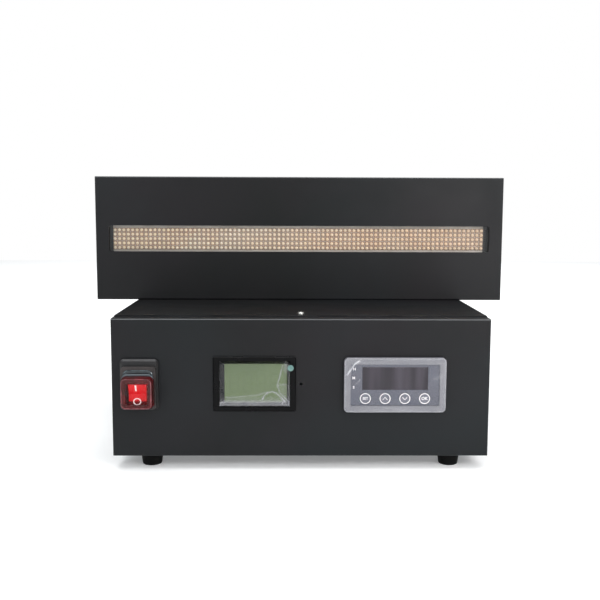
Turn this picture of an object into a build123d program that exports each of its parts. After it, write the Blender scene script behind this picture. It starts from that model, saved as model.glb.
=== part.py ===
"""UV LED curing lamp standing on its control cabinet, in millimetres.

+X is to the operator's right, +Y to the back and +Z up.
The origin is on the floor, under the cabinet's middle.
Every separate piece is written to parts/NODE.step, and the file's name is the node's name.
"""

from build123d import *
from math import cos, radians, sin
import os

# ---------------------------------------------------------------- driving dimensions

cabinet_width = 292
cabinet_depth = 320
panel_height = 108
panel_sheet = 1.5
cover_sheet = 1.2
foot_height = 11

lamp_width = 364
lamp_height = 110
lamp_depth = 120
lamp_setback = 118          # from the cabinet's front to the lamp's front
lamp_sheet = 1.5
end_plate_sheet = 5

slot_width = 341            # the light outlet in the lamp's front
slot_height = 23.2
led_pitch = 4.0
led_rows = 5
array_shift = -0.8          # the boards are pushed to the left end of the slot
module_columns = 12
module_count = 7

fit = 0.2                   # usual gap between pieces that are put together by hand

# ---------------------------------------------------------------- places worked out from them

front = -cabinet_depth / 2
back = cabinet_depth / 2
side = cabinet_width / 2
floor_plate = foot_height                       # underside of the cabinet
flange_top = foot_height + panel_height
cover_top = flange_top + cover_sheet
inner_side = side - cover_sheet                 # inner face of the cover's side walls
panel_back = front + panel_sheet
rear_inside = back - panel_sheet
base_top = floor_plate + 2 * panel_sheet        # the base plate lies on the panels' bottom flanges
panel_middle = floor_plate + 57.3               # height of the instruments' centre line

lamp_front = front + lamp_setback
lamp_back = lamp_front + lamp_depth
lamp_low = cover_top
lamp_top = lamp_low + lamp_height
lamp_middle = (lamp_low + lamp_top) / 2
lamp_side = lamp_width / 2
lamp_inner_side = lamp_side - end_plate_sheet


# ---------------------------------------------------------------- shape helpers

def block(x, y, z):
    """A box between the low and high of each axis."""
    return Pos((x[0] + x[1]) / 2, (y[0] + y[1]) / 2, (z[0] + z[1]) / 2) * Box(
        x[1] - x[0], y[1] - y[0], z[1] - z[0]
    )


def facing(outline, x, z, y):
    """An outline drawn as seen from the front, centred on x and z, with its thickness from y[0] to y[1]."""
    plane = Plane(origin=(x, y[0], z), x_dir=(1, 0, 0), z_dir=(0, -1, 0))
    return extrude(plane * outline, amount=y[0] - y[1])


def rod_y(x, z, y, radius):
    """A round bar along Y."""
    return facing(Circle(radius), x, z, y)


def rod_x(y, z, x, radius):
    """A round bar along X."""
    return Pos((x[0] + x[1]) / 2, y, z) * Rot(0, 90, 0) * Cylinder(radius, x[1] - x[0])


def rod_z(x, y, z, radius):
    """A round bar along Z."""
    return Pos(x, y, (z[0] + z[1]) / 2) * Cylinder(radius, z[1] - z[0])


def side_outline(points, x):
    """A solid from an outline in Y and Z, with its width from x[0] to x[1]."""
    outline = Plane.YZ * make_face(Polyline(*points, close=True))
    return Pos(x[0], 0, 0) * extrude(outline, amount=x[1] - x[0])


def group(pieces):
    """Separate solids kept as one node."""
    solids = [solid for piece in pieces for solid in piece.solids()]
    return Compound(children=solids)


def both(low, high):
    return (-high, -low), (low, high)


# Directions in which a screw's head can face.
HEAD_UP = Rot(0, 0, 0)
HEAD_DOWN = Rot(180, 0, 0)
HEAD_FRONT = Rot(90, 0, 0)
HEAD_BACK = Rot(-90, 0, 0)
HEAD_RIGHT = Rot(0, 90, 0)
HEAD_LEFT = Rot(0, -90, 0)


def pan_screw(thread_radius, length, head_radius, head_height):
    """A pan-head screw with a cross recess. Its head sits on z = 0 and its thread goes down."""
    head = Cylinder(head_radius, head_height, align=(Align.CENTER, Align.CENTER, Align.MIN))
    head = fillet(head.edges().group_by(Axis.Z)[-1], head_height * 0.6)
    shank = Cylinder(thread_radius, length, align=(Align.CENTER, Align.CENTER, Align.MAX))
    arm = head_radius * 1.15
    slot = arm * 0.28
    recess_depth = head_height * 0.55
    cross = Box(arm, slot, recess_depth) + Box(slot, arm, recess_depth)
    return head + shank - Pos(0, 0, head_height - recess_depth / 2) * cross


def flush_screw(thread_radius, length, head_radius):
    """A countersunk screw. Its flat head ends at z = 0."""
    cone_height = head_radius - thread_radius
    head = Pos(0, 0, -cone_height / 2) * Cone(thread_radius, head_radius, cone_height)
    shank = Cylinder(thread_radius, length, align=(Align.CENTER, Align.CENTER, Align.MAX))
    slot = head_radius * 0.3
    recess_depth = cone_height * 0.7
    cross = Box(head_radius * 1.1, slot, recess_depth) + Box(slot, head_radius * 1.1, recess_depth)
    return head + shank - Pos(0, 0, -recess_depth / 2) * cross


def countersink(thread_radius, length, head_radius):
    """The hole for a countersunk screw, with a little air round it."""
    air = 0.1
    cone_height = head_radius - thread_radius
    cone = Pos(0, 0, -cone_height / 2) * Cone(thread_radius + air, head_radius + air, cone_height)
    return cone + Cylinder(thread_radius + air, length, align=(Align.CENTER, Align.CENTER, Align.MAX))


def slot_row(count, pitch, width, length, rotation=0):
    """A row of long slots side by side, as a flat outline."""
    one = Rot(0, 0, 90 + rotation) * SlotOverall(length, width)
    first = -(count - 1) * pitch / 2
    return Sketch() + [Pos(first + i * pitch, 0) * one for i in range(count)]


nodes = {}


def keep(name, shape):
    nodes[name] = shape


# ---------------------------------------------------------------- cabinet: sheet metal

cover_front = front + 13          # the front panel's top flange shows in front of the cover
top_flange_depth = 30
bottom_flange_depth = 30
panel_bend = 1.4                  # outer radius of the panels' folds
flange_side = inner_side - 0.4    # the flanges pass between the cover's side walls

cover_screw_front = front + 20
cover_screw_back = back - 8
cover_screw_x = 100
side_screw_y = (-110, 0, 110)
side_screw_z = floor_plate + 14
m3, m3_hole = 1.5, 1.65
m4, m4_hole = 2.0, 2.2

foot_x = 118.5
foot_y = 142

# Front panel instruments: centre x, centre z, and their cut-outs.
switch_x, switch_z = -124.5, floor_plate + 52
meter_x, meter_z = -36, panel_middle
controller_x, controller_z = 72.5, panel_middle - 0.3
pinhole_radius = 1.25
switch_cutout = (19.6, 23.0)
meter_cutout = (60.0, 38.6)
controller_cutout = (75.6, 39.2)

# Rear panel equipment.
fan_x, fan_z = 78, floor_plate + 54
inlet_x, inlet_z = -104, floor_plate + 58
output_x, output_z = -30, floor_plate + 62
signal_x, signal_z = -62, floor_plate + 62
earth_x, earth_z = -62, floor_plate + 28


def foot_places():
    return [(sx * foot_x, sy * foot_y) for sx in (-1, 1) for sy in (-1, 1)]


def bent_panel(face_y, flange_depth_top, inward):
    """A full-width face with its top and bottom edges folded towards the back (+1) or the front (-1)."""
    outer = face_y
    inner = face_y + inward * panel_sheet
    face = block((-side, side), sorted((outer, inner)), (floor_plate, flange_top))
    top = block(
        (-flange_side, flange_side),
        sorted((outer + inward * panel_bend, outer + inward * flange_depth_top)),
        (flange_top - panel_sheet, flange_top),
    )
    bottom = block(
        (-flange_side, flange_side),
        sorted((outer + inward * panel_bend, outer + inward * bottom_flange_depth)),
        (floor_plate, floor_plate + panel_sheet),
    )
    panel = face + top + bottom
    outer_edges = panel.edges().filter_by(Axis.X).filter_by(
        lambda e: abs(e.center().Y - outer) < 0.01 and e.length > cabinet_width - 1
    )
    return fillet(outer_edges, panel_bend)


def front_panel():
    panel = bent_panel(front, top_flange_depth, 1)
    cut = (front - 1, panel_back + 1)
    panel -= facing(RectangleRounded(*switch_cutout, 1), switch_x, switch_z, cut)
    panel -= facing(RectangleRounded(*meter_cutout, 0.5), meter_x, meter_z, cut)
    panel -= facing(RectangleRounded(*controller_cutout, 1), controller_x, controller_z, cut)
    panel -= rod_y(0, panel_middle, cut, pinhole_radius)
    panel -= rod_z(0, cover_screw_front, (flange_top - 3, flange_top + 1), m3_hole)
    for x, y in foot_places():
        if y < 0:
            panel -= rod_z(x, y, (floor_plate - 1, floor_plate + 3), m4_hole)
    return panel


def rear_panel():
    panel = bent_panel(back, 15, -1)
    cut = (rear_inside - 1, back + 1)
    panel -= rod_y(fan_x, fan_z, cut, 38)
    for dx, dz in fan_corners(cabinet_fan_pitch):
        panel -= rod_y(fan_x + dx, fan_z + dz, cut, m4_hole)
    panel -= facing(RectangleRounded(*inlet_cutout, 1), inlet_x, inlet_z, cut)
    for sx in (-1, 1):
        panel -= rod_y(inlet_x + sx * inlet_screw_x, inlet_z, cut, m3_hole)
    panel -= rod_y(output_x, output_z, cut, output_radius + 0.2)
    panel -= rod_y(signal_x, signal_z, cut, signal_radius + 0.2)
    panel -= rod_y(earth_x, earth_z, cut, m4_hole)
    for sx in (-1, 1):
        panel -= rod_z(sx * cover_screw_x, cover_screw_back, (flange_top - 3, flange_top + 1), m3_hole)
    for x, y in foot_places():
        if y > 0:
            panel -= rod_z(x, y, (floor_plate - 1, floor_plate + 3), m4_hole)
    return panel


def base_plate():
    reach = rear_inside - fit
    plate = block((-flange_side, flange_side), (-reach, reach), (floor_plate + panel_sheet, base_top))
    flange_high = floor_plate + 24
    for x in both(flange_side - panel_sheet, flange_side):
        plate += block(x, (-140, 140), (base_top - 0.5, flange_high))
    for x, y in foot_places():
        plate -= rod_z(x, y, (floor_plate, base_top + 1), m4_hole)
    for y in side_screw_y:
        for x in both(flange_side - 3, flange_side + 1):
            plate -= rod_x(y, side_screw_z, x, m3_hole)
    air_slots = slot_row(14, 9, 3.5, 40)
    plate -= Pos(0, -15, floor_plate) * extrude(air_slots, amount=10)
    return plate


def top_cover():
    cover = block((-side, side), (cover_front, back), (flange_top, cover_top))
    for x in both(inner_side, side):
        cover += block(x, (panel_back, rear_inside), (floor_plate, flange_top))
        cover += block(x, (cover_front, rear_inside), (flange_top - 0.5, cover_top))
    long_edges = cover.edges().filter_by(Axis.Y).filter_by(
        lambda e: abs(e.center().Z - cover_top) < 0.01 and abs(abs(e.center().X) - side) < 0.01
    )
    cover = fillet(long_edges, 1.1)
    vents = slot_row(18, 9, 3.5, 26)
    side_plane = Plane(origin=(-side - 1, 0, 0), x_dir=(0, 1, 0), z_dir=(1, 0, 0))
    for z in (floor_plate + 46, floor_plate + 80):
        cover -= extrude(side_plane * Pos(10, z) * vents, amount=cabinet_width + 2)
    cover -= rod_z(0, cover_screw_front, (flange_top - 1, cover_top + 1), m3_hole)
    for sx in (-1, 1):
        cover -= rod_z(sx * cover_screw_x, cover_screw_back, (flange_top - 1, cover_top + 1), m3_hole)
    for y in side_screw_y:
        for x in both(inner_side - 1, side + 1):
            cover -= rod_x(y, side_screw_z, x, m3_hole)
    return cover


def cover_screws():
    screw = pan_screw(m3, 8, 2.8, 1.9)
    side_screw = pan_screw(m3, 4.5, 2.8, 1.9)
    screws = [Pos(0, cover_screw_front, cover_top) * HEAD_UP * screw]
    screws += [Pos(sx * cover_screw_x, cover_screw_back, cover_top) * HEAD_UP * screw for sx in (-1, 1)]
    for y in side_screw_y:
        screws.append(Pos(side, y, side_screw_z) * HEAD_RIGHT * side_screw)
        screws.append(Pos(-side, y, side_screw_z) * HEAD_LEFT * side_screw)
    return group(screws)


foot_top_radius, foot_bottom_radius = 9.0, 7.6
foot_bore_radius, foot_bore_depth = 4.3, 5


def foot(x, y):
    """A tapered rubber foot with a recess for its screw."""
    on_floor = (Align.CENTER, Align.CENTER, Align.MIN)
    body = Cone(foot_bottom_radius, foot_top_radius, foot_height, align=on_floor)
    body = fillet(body.edges().group_by(Axis.Z)[0], 1.4)
    body -= Cylinder(foot_bore_radius, foot_bore_depth, align=(Align.CENTER, Align.CENTER, Align.MIN))
    body -= Cylinder(m4_hole, foot_height, align=(Align.CENTER, Align.CENTER, Align.MIN))
    return Pos(x, y, 0) * body


def foot_screws():
    screw = pan_screw(m4, 13, 3.8, 2.6)
    nut = extrude(RegularPolygon(4.04, 6) - Circle(m4 + 0.1), amount=3.2)
    pieces = []
    for x, y in foot_places():
        pieces.append(Pos(x, y, foot_bore_depth) * HEAD_DOWN * screw)
        pieces.append(Pos(x, y, base_top) * nut)
    return group(pieces)


# ---------------------------------------------------------------- rocker switch with its splash boot

frame_width, frame_height = 29.2, 39.6
frame_low = floor_plate + 37.5
frame_z = frame_low + frame_height / 2
boot_depth = 16                     # how far the boot stands out of the panel
skirt_depth = 11
rocker_pivot_y = front - 5
rocker_width = 13.6
rocker_half = 9.6
rocker_swing = 20                  # from off to on
pivot_radius = 1.0
bezel_width, bezel_height = 21.0, 24.4


def stepped(width, low, high, y, radius):
    """One rounded step of the frame or the boot."""
    return facing(RectangleRounded(width, high - low, radius), switch_x, (low + high) / 2, y)


def switch_frame():
    frame = stepped(frame_width, frame_low, frame_low + frame_height, (front - 4, front), 3)
    rim = frame.edges().filter_by(lambda e: abs(e.center().Y - (front - 4)) < 0.01)
    frame = chamfer(rim, 1.4)
    frame += stepped(26.6, frame_low + 1.2, frame_low + 34.6, (front - 7, front - 3.9), 3)
    well = (bezel_width + 0.6, bezel_height + 0.6)
    frame -= facing(RectangleRounded(*well, 1.2), switch_x, switch_z, (front - 8, front + 1))
    return frame


def switch_boot():
    skirt = stepped(25.8, frame_low + 1.7, frame_low + 31.0, (front - skirt_depth, front - 7), 3.2)
    cap = stepped(25.0, frame_low + 2.0, frame_low + 27.4, (front - boot_depth, front - skirt_depth + 0.1), 4)
    cap_rim = cap.edges().filter_by(lambda e: abs(e.center().Y - (front - boot_depth)) < 0.01)
    cap = fillet(cap_rim, 1.6)
    boot = skirt + cap
    hollow = facing(RectangleRounded(21.4, 22.6, 3), switch_x, switch_z, (front - boot_depth + 1, front - 6))
    return boot - hollow


def switch_body():
    """The housing, with the pin that the rocker turns on."""
    body = facing(RectangleRounded(bezel_width, bezel_height, 1), switch_x, switch_z, (front - 2, front))
    body += facing(Rectangle(19.0, 22.4), switch_x, switch_z, (front - 0.5, front + 24))
    well = (rocker_width + 0.6, 2 * rocker_half + 1.6)
    body += facing(Rectangle(well[0] + 2.4, well[1] + 1.4), switch_x, switch_z, (front - 8.5, front - 1))
    body -= facing(Rectangle(*well), switch_x, switch_z, (front - 9, front + 4))
    reach = well[0] / 2 + 1
    return body + rod_x(rocker_pivot_y, switch_z, (switch_x - reach, switch_x + reach), pivot_radius)


def switch_rocker():
    """The rocker in its off position, with its upper half standing out."""
    outline = [
        (1.0, -rocker_half), (-6.2, -rocker_half), (-3.8, 0), (-6.2, rocker_half),
        (1.0, rocker_half), (4.0, 4.0), (4.0, -4.0),
    ]
    rocker = side_outline(outline, (-rocker_width / 2, rocker_width / 2))
    rocker = fillet(rocker.edges().filter_by(Axis.X).group_by(Axis.Y)[0], 0.8)
    rocker -= rod_x(0, 0, (-rocker_width, rocker_width), pivot_radius + 0.05)
    return Pos(switch_x, rocker_pivot_y, switch_z) * Rot(rocker_swing / 2, 0, 0) * rocker


def switch_terminals():
    tabs = []
    for x in (-4.5, 4.5):
        for z in (-7, 0, 7):
            tab = block((switch_x + x - 0.4, switch_x + x + 0.4), (front + 24, front + 33),
                        (switch_z + z - 2.4, switch_z + z + 2.4))
            tab -= rod_x(front + 30, switch_z + z, (switch_x + x - 1, switch_x + x + 1), 0.8)
            tabs.append(tab)
    return group(tabs)


# ---------------------------------------------------------------- panel meter with a liquid-crystal window

meter_face = (64.0, 42.8)
meter_body = (59.4, 38.0)
meter_opening = (55.0, 36.2)
meter_view = (48.6, 30.4)
meter_view_shift = 0.9             # the view sits right of the face's middle
meter_depth = 22


def meter_bezel():
    """The face, with an opening whose four sides slope in to the glass."""
    bezel = facing(RectangleRounded(*meter_face, 1.5), meter_x, meter_z, (front - 1.6, front))
    rim = bezel.edges().filter_by(lambda e: abs(e.center().Y - (front - 1.6)) < 0.01)
    bezel = chamfer(rim, 0.6)
    bezel += facing(Rectangle(*meter_body), meter_x, meter_z, (front - 0.2, front + 6))
    wide = Plane(origin=(meter_x, front - 1.6, meter_z), x_dir=(1, 0, 0), z_dir=(0, -1, 0))
    inner_x = meter_x + meter_view_shift
    narrow = Plane(origin=(inner_x, front + 3.2, meter_z), x_dir=(1, 0, 0), z_dir=(0, -1, 0))
    funnel = loft([wide * Rectangle(*meter_opening), narrow * Rectangle(*meter_view)])
    bezel -= funnel
    bezel -= facing(Rectangle(54.6, 34.6), meter_x, meter_z, (front + 3.2, front + 7))
    return bezel


def meter_glass():
    return facing(Rectangle(54.2, 34.2), meter_x, meter_z, (front + 3.2, front + 5))


def meter_case():
    start = front + 6
    case = facing(Rectangle(*meter_body), meter_x, meter_z, (start, start + meter_depth))
    case -= facing(Rectangle(56.4, 35.0), meter_x, meter_z, (start - 1, start + meter_depth - 1.5))
    return case


def meter_board():
    board = facing(Rectangle(55.8, 34.4), meter_x, meter_z, (front + 9, front + 10.6))
    parts = [board]
    parts.append(block((meter_x - 12, meter_x + 2), (front + 10.6, front + 12.6), (meter_z - 6, meter_z + 6)))
    parts.append(block((meter_x + 10, meter_x + 24), (front + 10.6, front + 18), (meter_z - 12, meter_z - 4)))
    parts += [rod_y(meter_x - 20, meter_z + dz, (front + 10.6, front + 20), 4) for dz in (-8, 8)]
    return group(parts)


def meter_film():
    """Shipping film laid over the meter's opening."""
    return facing(Rectangle(54.0, 35.2), meter_x, meter_z, (front - 2.1, front - 1.8))


# ---------------------------------------------------------------- four-key controller

controller_face_size = (79.0, 43.0)
controller_body = (75.0, 38.6)
controller_opening = (69.0, 32.4)
controller_depth = 60
face_stand = 3.4                       # how far the controller stands out of the panel
face_recess = 0.9
window_size = (50.8, 17.8)
window_z = controller_z + 5.2
key_radius = 4.3
key_hole_radius = 4.6
key_pitch = 15.27
key_z = controller_z - 10.5
key_travel = 0.6
key_names = ("key_set", "key_up", "key_down", "key_ok")


def key_x(index):
    return controller_x + (index - 1.5) * key_pitch


def controller_case():
    """The bezel and the box behind it, open at the front for the face plate."""
    bezel = facing(RectangleRounded(*controller_face_size, 3.6), controller_x, controller_z,
                   (front - face_stand, front))
    rim = bezel.edges().filter_by(lambda e: abs(e.center().Y - (front - face_stand)) < 0.01)
    bezel = fillet(rim, 1.0)
    case = bezel + facing(Rectangle(*controller_body), controller_x, controller_z,
                          (front - 0.5, front + controller_depth))
    case -= facing(RectangleRounded(*controller_opening, 1), controller_x, controller_z,
                   (front - face_stand - 1, front + controller_depth - 2))
    return case


def controller_face():
    """The printed face plate, with openings for the display window and the keys."""
    y = (front - face_stand + face_recess, front - face_stand + face_recess + 1.6)
    plate = facing(RectangleRounded(controller_opening[0] - fit, controller_opening[1] - fit, 1),
                   controller_x, controller_z, y)
    plate -= facing(Rectangle(window_size[0] + 0.1, window_size[1] + 0.1), controller_x, window_z,
                    (y[0] - 1, y[1] + 1))
    for i in range(4):
        plate -= rod_y(key_x(i), key_z, (y[0] - 1, y[1] + 1), key_hole_radius)
    return plate


def controller_window():
    y = front - face_stand + face_recess
    return facing(Rectangle(*window_size), controller_x, window_z, (y + 0.1, y + 1.5))


def controller_key(index):
    """A round key cap with the stem that presses its switch."""
    cap_front = front - face_stand + face_recess - 0.35
    cap = rod_y(key_x(index), key_z, (cap_front, cap_front + 1.6), key_radius)
    rim = cap.edges().filter_by(lambda e: abs(e.center().Y - cap_front) < 0.01)
    cap = fillet(rim, 0.25)
    return cap + rod_y(key_x(index), key_z, (cap_front + 1.5, front + 2.2), 2.0)


def controller_board():
    """The board behind the face, with the display and a switch under each key, and the power board."""
    board_y = front + 7.2
    inside = (controller_opening[0] - 1, controller_opening[1] - 1)
    parts = [facing(Rectangle(*inside), controller_x, controller_z, (board_y, board_y + 1.6))]
    parts.append(facing(Rectangle(50.0, 17.0), controller_x, window_z, (front, board_y)))
    for i in range(4):
        switch_front = front + 2.2 + key_travel + 0.2
        parts.append(facing(Rectangle(6, 6), key_x(i), key_z, (switch_front, board_y)))
    low = controller_z - 12
    x, top = controller_x, low + 1.6
    parts.append(block((x - 32, x + 32), (board_y + 2.2, front + 55), (low, top)))
    parts.append(block((x - 30, x - 10), (front + 18, front + 38), (top, low + 18)))
    parts.append(block((x + 4, x + 22), (front + 16, front + 34), (top, low + 16)))
    parts.append(rod_z(controller_x - 4, front + 42, (low + 1.6, low + 17), 4.5))
    return group(parts)


def controller_clips():
    """Two sliding clips that pull the controller against the panel from behind."""
    clips = []
    for sx in (-1, 1):
        near = controller_x + sx * (controller_body[0] / 2 + 0.1)
        far = near + sx * 3.2
        height = (controller_z - 9, controller_z + 9)
        clip = block(sorted((near, far)), (panel_back + 0.1, front + 38), height)
        clip += block(sorted((near, near + sx * 6)), (panel_back + 0.1, front + 7), height)
        clips.append(clip)
    return group(clips)


def controller_film():
    """Hazy shipping film over the controller's face."""
    return facing(RectangleRounded(78.2, 42.2, 3), controller_x, controller_z,
                  (front - face_stand - 0.7, front - face_stand - 0.4))


# ---------------------------------------------------------------- mains inlet and output sockets

inlet_flange = (50.0, 38.0)
inlet_cutout = (29.0, 34.0)
inlet_screw_x = 20
inlet_stand = 2.6
inlet_hollow = (24.4, 16.8)
inlet_hollow_z = inlet_z + 6.5
inlet_hollow_depth = 17
drawer_size = (23.6, 7.4)
drawer_z = inlet_z - 11
drawer_travel = 20
output_radius, signal_radius = 9.5, 7.8
socket_stand = 16


def mains_inlet():
    inlet = facing(RectangleRounded(*inlet_flange, 3), inlet_x, inlet_z, (back, back + inlet_stand))
    inlet += facing(Rectangle(28.4, 33.4), inlet_x, inlet_z, (back - 26, back + 0.5))
    hollow_y = (back + inlet_stand - inlet_hollow_depth, back + inlet_stand + 1)
    hollow = facing(Rectangle(*inlet_hollow), inlet_x, inlet_hollow_z, hollow_y)
    corner_edges = hollow.edges().filter_by(Axis.Y).group_by(Axis.Z)[-1]
    inlet -= chamfer(corner_edges, 4.5)
    inlet -= facing(Rectangle(drawer_size[0] + 0.4, drawer_size[1] + 0.4), inlet_x, drawer_z,
                    (back - 22, back + inlet_stand + 1))
    for sx in (-1, 1):
        inlet -= rod_y(inlet_x + sx * inlet_screw_x, inlet_z, (back - 1, back + inlet_stand + 1), m3_hole)
    return inlet


def inlet_pins():
    """Three flat pins in the socket and the tabs behind them."""
    root = back + inlet_stand - inlet_hollow_depth
    pins = []
    for x, dz in ((-7, -2.5), (0, 2.0), (7, -2.5)):
        px, pz = inlet_x + x, inlet_hollow_z + dz
        pins.append(block((px - 1, px + 1), (root, root + 14.5), (pz - 2, pz + 2)))
        pins.append(block((px - 0.4, px + 0.4), (back - 35, back - 26), (pz - 2.4, pz + 2.4)))
    return group(pins)


def fuse_drawer():
    """The tray that pulls out, with the mains fuse in it."""
    width, height = drawer_size
    outer = back + inlet_stand
    drawer = facing(Rectangle(width, height), inlet_x, drawer_z, (back - 20, outer + 1.2))
    drawer -= block((inlet_x - 10.6, inlet_x + 10.6), (back - 18, back - 4), (drawer_z - 2.9, drawer_z + 10))
    drawer -= block((inlet_x - 4, inlet_x + 4), (outer - 1.4, outer + 2), (drawer_z + 1.6, drawer_z + 10))
    return group([drawer] + fuse())


def fuse():
    """A 5 by 20 mm glass fuse lying in the drawer."""
    y = back - 11
    glass = rod_x(y, drawer_z, (inlet_x - 5.2, inlet_x + 5.2), 2.3)
    caps = [rod_x(y, drawer_z, sorted((inlet_x + s * 10, inlet_x + s * 5.2)), 2.6) for s in (-1, 1)]
    return [glass] + caps


def panel_socket(x, z, face, radius, contacts):
    """A round screw-ring socket: flange, threaded ring, insert with contact holes, and a nut inside."""
    shell = rod_y(x, z, (face - 12, face + socket_stand), radius)
    shell += facing(RectangleRounded(2 * radius + 5, 2 * radius + 5, 2.5), x, z, (face, face + 2))
    bump_y, bump_z = (face + 5, face + socket_stand - 0.8), (z + radius - 3, z + radius - 1.2)
    key_bump = block((x - 1, x + 1), bump_y, bump_z)
    shell -= rod_y(x, z, (face + 4, face + socket_stand + 1), radius - 1.6)
    shell += key_bump
    insert = rod_y(x, z, (face + 4, face + socket_stand - 1.5), radius - 1.8)
    insert -= block((x - 1.2, x + 1.2), (face + 3, face + socket_stand), (z + radius - 3.2, z + radius))
    ring = radius * 0.45
    for i in range(contacts):
        turn = radians(45 + 360 * i / contacts)
        insert -= rod_y(x + ring * cos(turn), z + ring * sin(turn), (face + 6, face + socket_stand), 1.3)
    return group([shell, insert])


def socket_nut(x, z, inside, radius):
    plane = Plane(origin=(x, inside - 3, z), x_dir=(1, 0, 0), z_dir=(0, -1, 0))
    return extrude(plane * (RegularPolygon(radius + 3, 6) - Circle(radius + 0.1)), amount=-3)


def output_sockets():
    """The lamp's power socket and the smaller trigger-signal socket, on the cabinet's back."""
    return group([
        panel_socket(output_x, output_z, back, output_radius, 4),
        panel_socket(signal_x, signal_z, back, signal_radius, 4),
        socket_nut(output_x, output_z, rear_inside, output_radius),
        socket_nut(signal_x, signal_z, rear_inside, signal_radius),
    ])


# ---------------------------------------------------------------- fans, in the cabinet and in the lamp

fan_depth = 25
cabinet_fan_size, cabinet_fan_pitch = 80, 71.5
lamp_fan_size, lamp_fan_pitch = 92, 82.5
guard_wire = 0.9


def fan_corners(pitch):
    return [(sx * pitch / 2, sz * pitch / 2) for sx in (-1, 1) for sz in (-1, 1)]


def fan_frame(x, z, y_back, size, pitch):
    """A square fan housing whose motor plate, at the back, hangs on four struts."""
    y_front = y_back - fan_depth
    bore = size / 2 - 2.5
    flange = RectangleRounded(size, size, 4)
    frame = facing(flange, x, z, (y_front, y_front + 4)) + facing(flange, x, z, (y_back - 4, y_back))
    frame += rod_y(x, z, (y_front, y_back), size / 2 - 0.6)
    frame -= rod_y(x, z, (y_front - 1, y_back + 1), bore)
    hub = size * 0.2
    frame += rod_y(x, z, (y_back - 3.5, y_back), hub)
    for turn in (45, 135, 225, 315):
        strut = block((hub - 2, bore + 1), (y_back - 3, y_back), (-2, 2))
        frame += Pos(x, 0, z) * Rot(0, turn, 0) * strut
    for dx, dz in fan_corners(pitch):
        frame -= rod_y(x + dx, z + dz, (y_front - 1, y_back + 1), 2.15)
    return frame


def fan_blade(hub, reach, depth):
    """One cambered blade along +Z, twisted out of the fan's plane."""
    chord = depth * 1.25
    bulge = chord * 0.12
    inner = ThreePointArc((-chord / 2, 0), (0, bulge), (chord / 2, 0))
    outer = ThreePointArc((chord / 2, 0), (0, bulge + 1.6), (-chord / 2, 0))
    blade = Pos(0, 0, hub - 1.5) * extrude(make_face([inner, outer]), amount=reach - hub + 4)
    return Rot(0, 0, 52) * blade


def fan_rotor(x, z, y_back, size):
    """A hub cup with seven blades, turning about Y."""
    hub = size * 0.2
    reach = size / 2 - 3.6
    depth = fan_depth - 9
    middle = y_back - fan_depth / 2 - 1.5
    rotor = rod_y(0, 0, (-depth / 2 - 1, depth / 2), hub)
    rim = rotor.edges().filter_by(lambda e: abs(e.center().Y + depth / 2 + 1) < 0.01)
    rotor = fillet(rim, 1.5)
    blade = fan_blade(hub, reach, depth)
    for i in range(7):
        rotor += Rot(0, 360 * i / 7, 0) * blade
    limit = rod_y(0, 0, (-depth / 2 - 1, depth / 2), reach)
    return Pos(x, middle, z) * (rotor & limit)


def fan_guard(x, z, face, size, pitch):
    """A welded wire guard: rings on two crossed wires with an eye at each corner."""
    ring_y = face + 2.6
    eye = pitch / 2 * 2 ** 0.5
    guard = None
    for turn in (45, 135):
        wire = Rot(0, turn, 0) * rod_x(0, 0, (-eye + 3, eye - 3), guard_wire)
        guard = wire if guard is None else guard + wire
    guard = Pos(x, face + 1.3, z) * guard
    rings = 5
    for i in range(rings):
        radius = (size / 2 - 2) * (i + 1) / rings
        guard += Pos(x, ring_y, z) * Rot(90, 0, 0) * Torus(radius, guard_wire)
    for dx, dz in fan_corners(pitch):
        eye_plate = rod_y(x + dx, z + dz, (face, face + 2.2), 4.4)
        guard += eye_plate - rod_y(x + dx, z + dz, (face - 1, face + 3), 2.3)
    return guard


def fan_screws(x, z, face, pitch):
    screw = pan_screw(m4, 16, 3.7, 2.4)
    return [Pos(x + dx, face + 2.2, z + dz) * HEAD_BACK * screw for dx, dz in fan_corners(pitch)]


def rear_screws():
    """Everything that is screwed to the rear panel from outside, and the earth stud."""
    screws = fan_screws(fan_x, fan_z, back, cabinet_fan_pitch)
    small = pan_screw(m3, 9, 2.8, 1.9)
    for sx in (-1, 1):
        screws.append(Pos(inlet_x + sx * inlet_screw_x, back + inlet_stand, inlet_z) * HEAD_BACK * small)
    screws.append(Pos(earth_x, back, earth_z) * HEAD_BACK * pan_screw(m4, 12, 4, 2.6))
    return group(screws)


# ---------------------------------------------------------------- power supplies and control board

supply_size = (115, 215, 50)
supply_front = -86
supply_inner_x = 26
supply_low = base_top
supply_wall = 1.5


def supply_spans(sign):
    """Low and high of the supply on that side of the cabinet."""
    x = sorted((sign * supply_inner_x, sign * (supply_inner_x + supply_size[0])))
    y = (supply_front, supply_front + supply_size[1])
    z = (supply_low, supply_low + supply_size[2])
    return x, y, z


def supply_tray(sign):
    """A floor with two long walls."""
    x, y, z = supply_spans(sign)
    tray = block(x, y, z)
    inside_x = (x[0] + supply_wall, x[1] - supply_wall)
    return tray - block(inside_x, (y[0] - 1, y[1] + 1), (z[0] + supply_wall, z[1] + 1))


def supply_cover(sign):
    """The perforated lid and end wall of a supply."""
    x, y, z = supply_spans(sign)
    x = (x[0] + supply_wall + 0.1, x[1] - supply_wall - 0.1)
    lid = block(x, (y[0] + 14, y[1]), (z[1] - 1, z[1]))
    lid += block(x, (y[1] - 1, y[1]), (z[0] + supply_wall + 0.1, z[1]))
    holes = Sketch() + [
        Pos((i - 7.5) * 6, (j - 12.5) * 6) * Circle(2) for i in range(16) for j in range(26)
    ]
    middle_x, middle_y = (x[0] + x[1]) / 2, (y[0] + y[1]) / 2 + 8
    return lid - Pos(middle_x, middle_y, z[1] - 3) * extrude(holes, amount=6)


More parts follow.
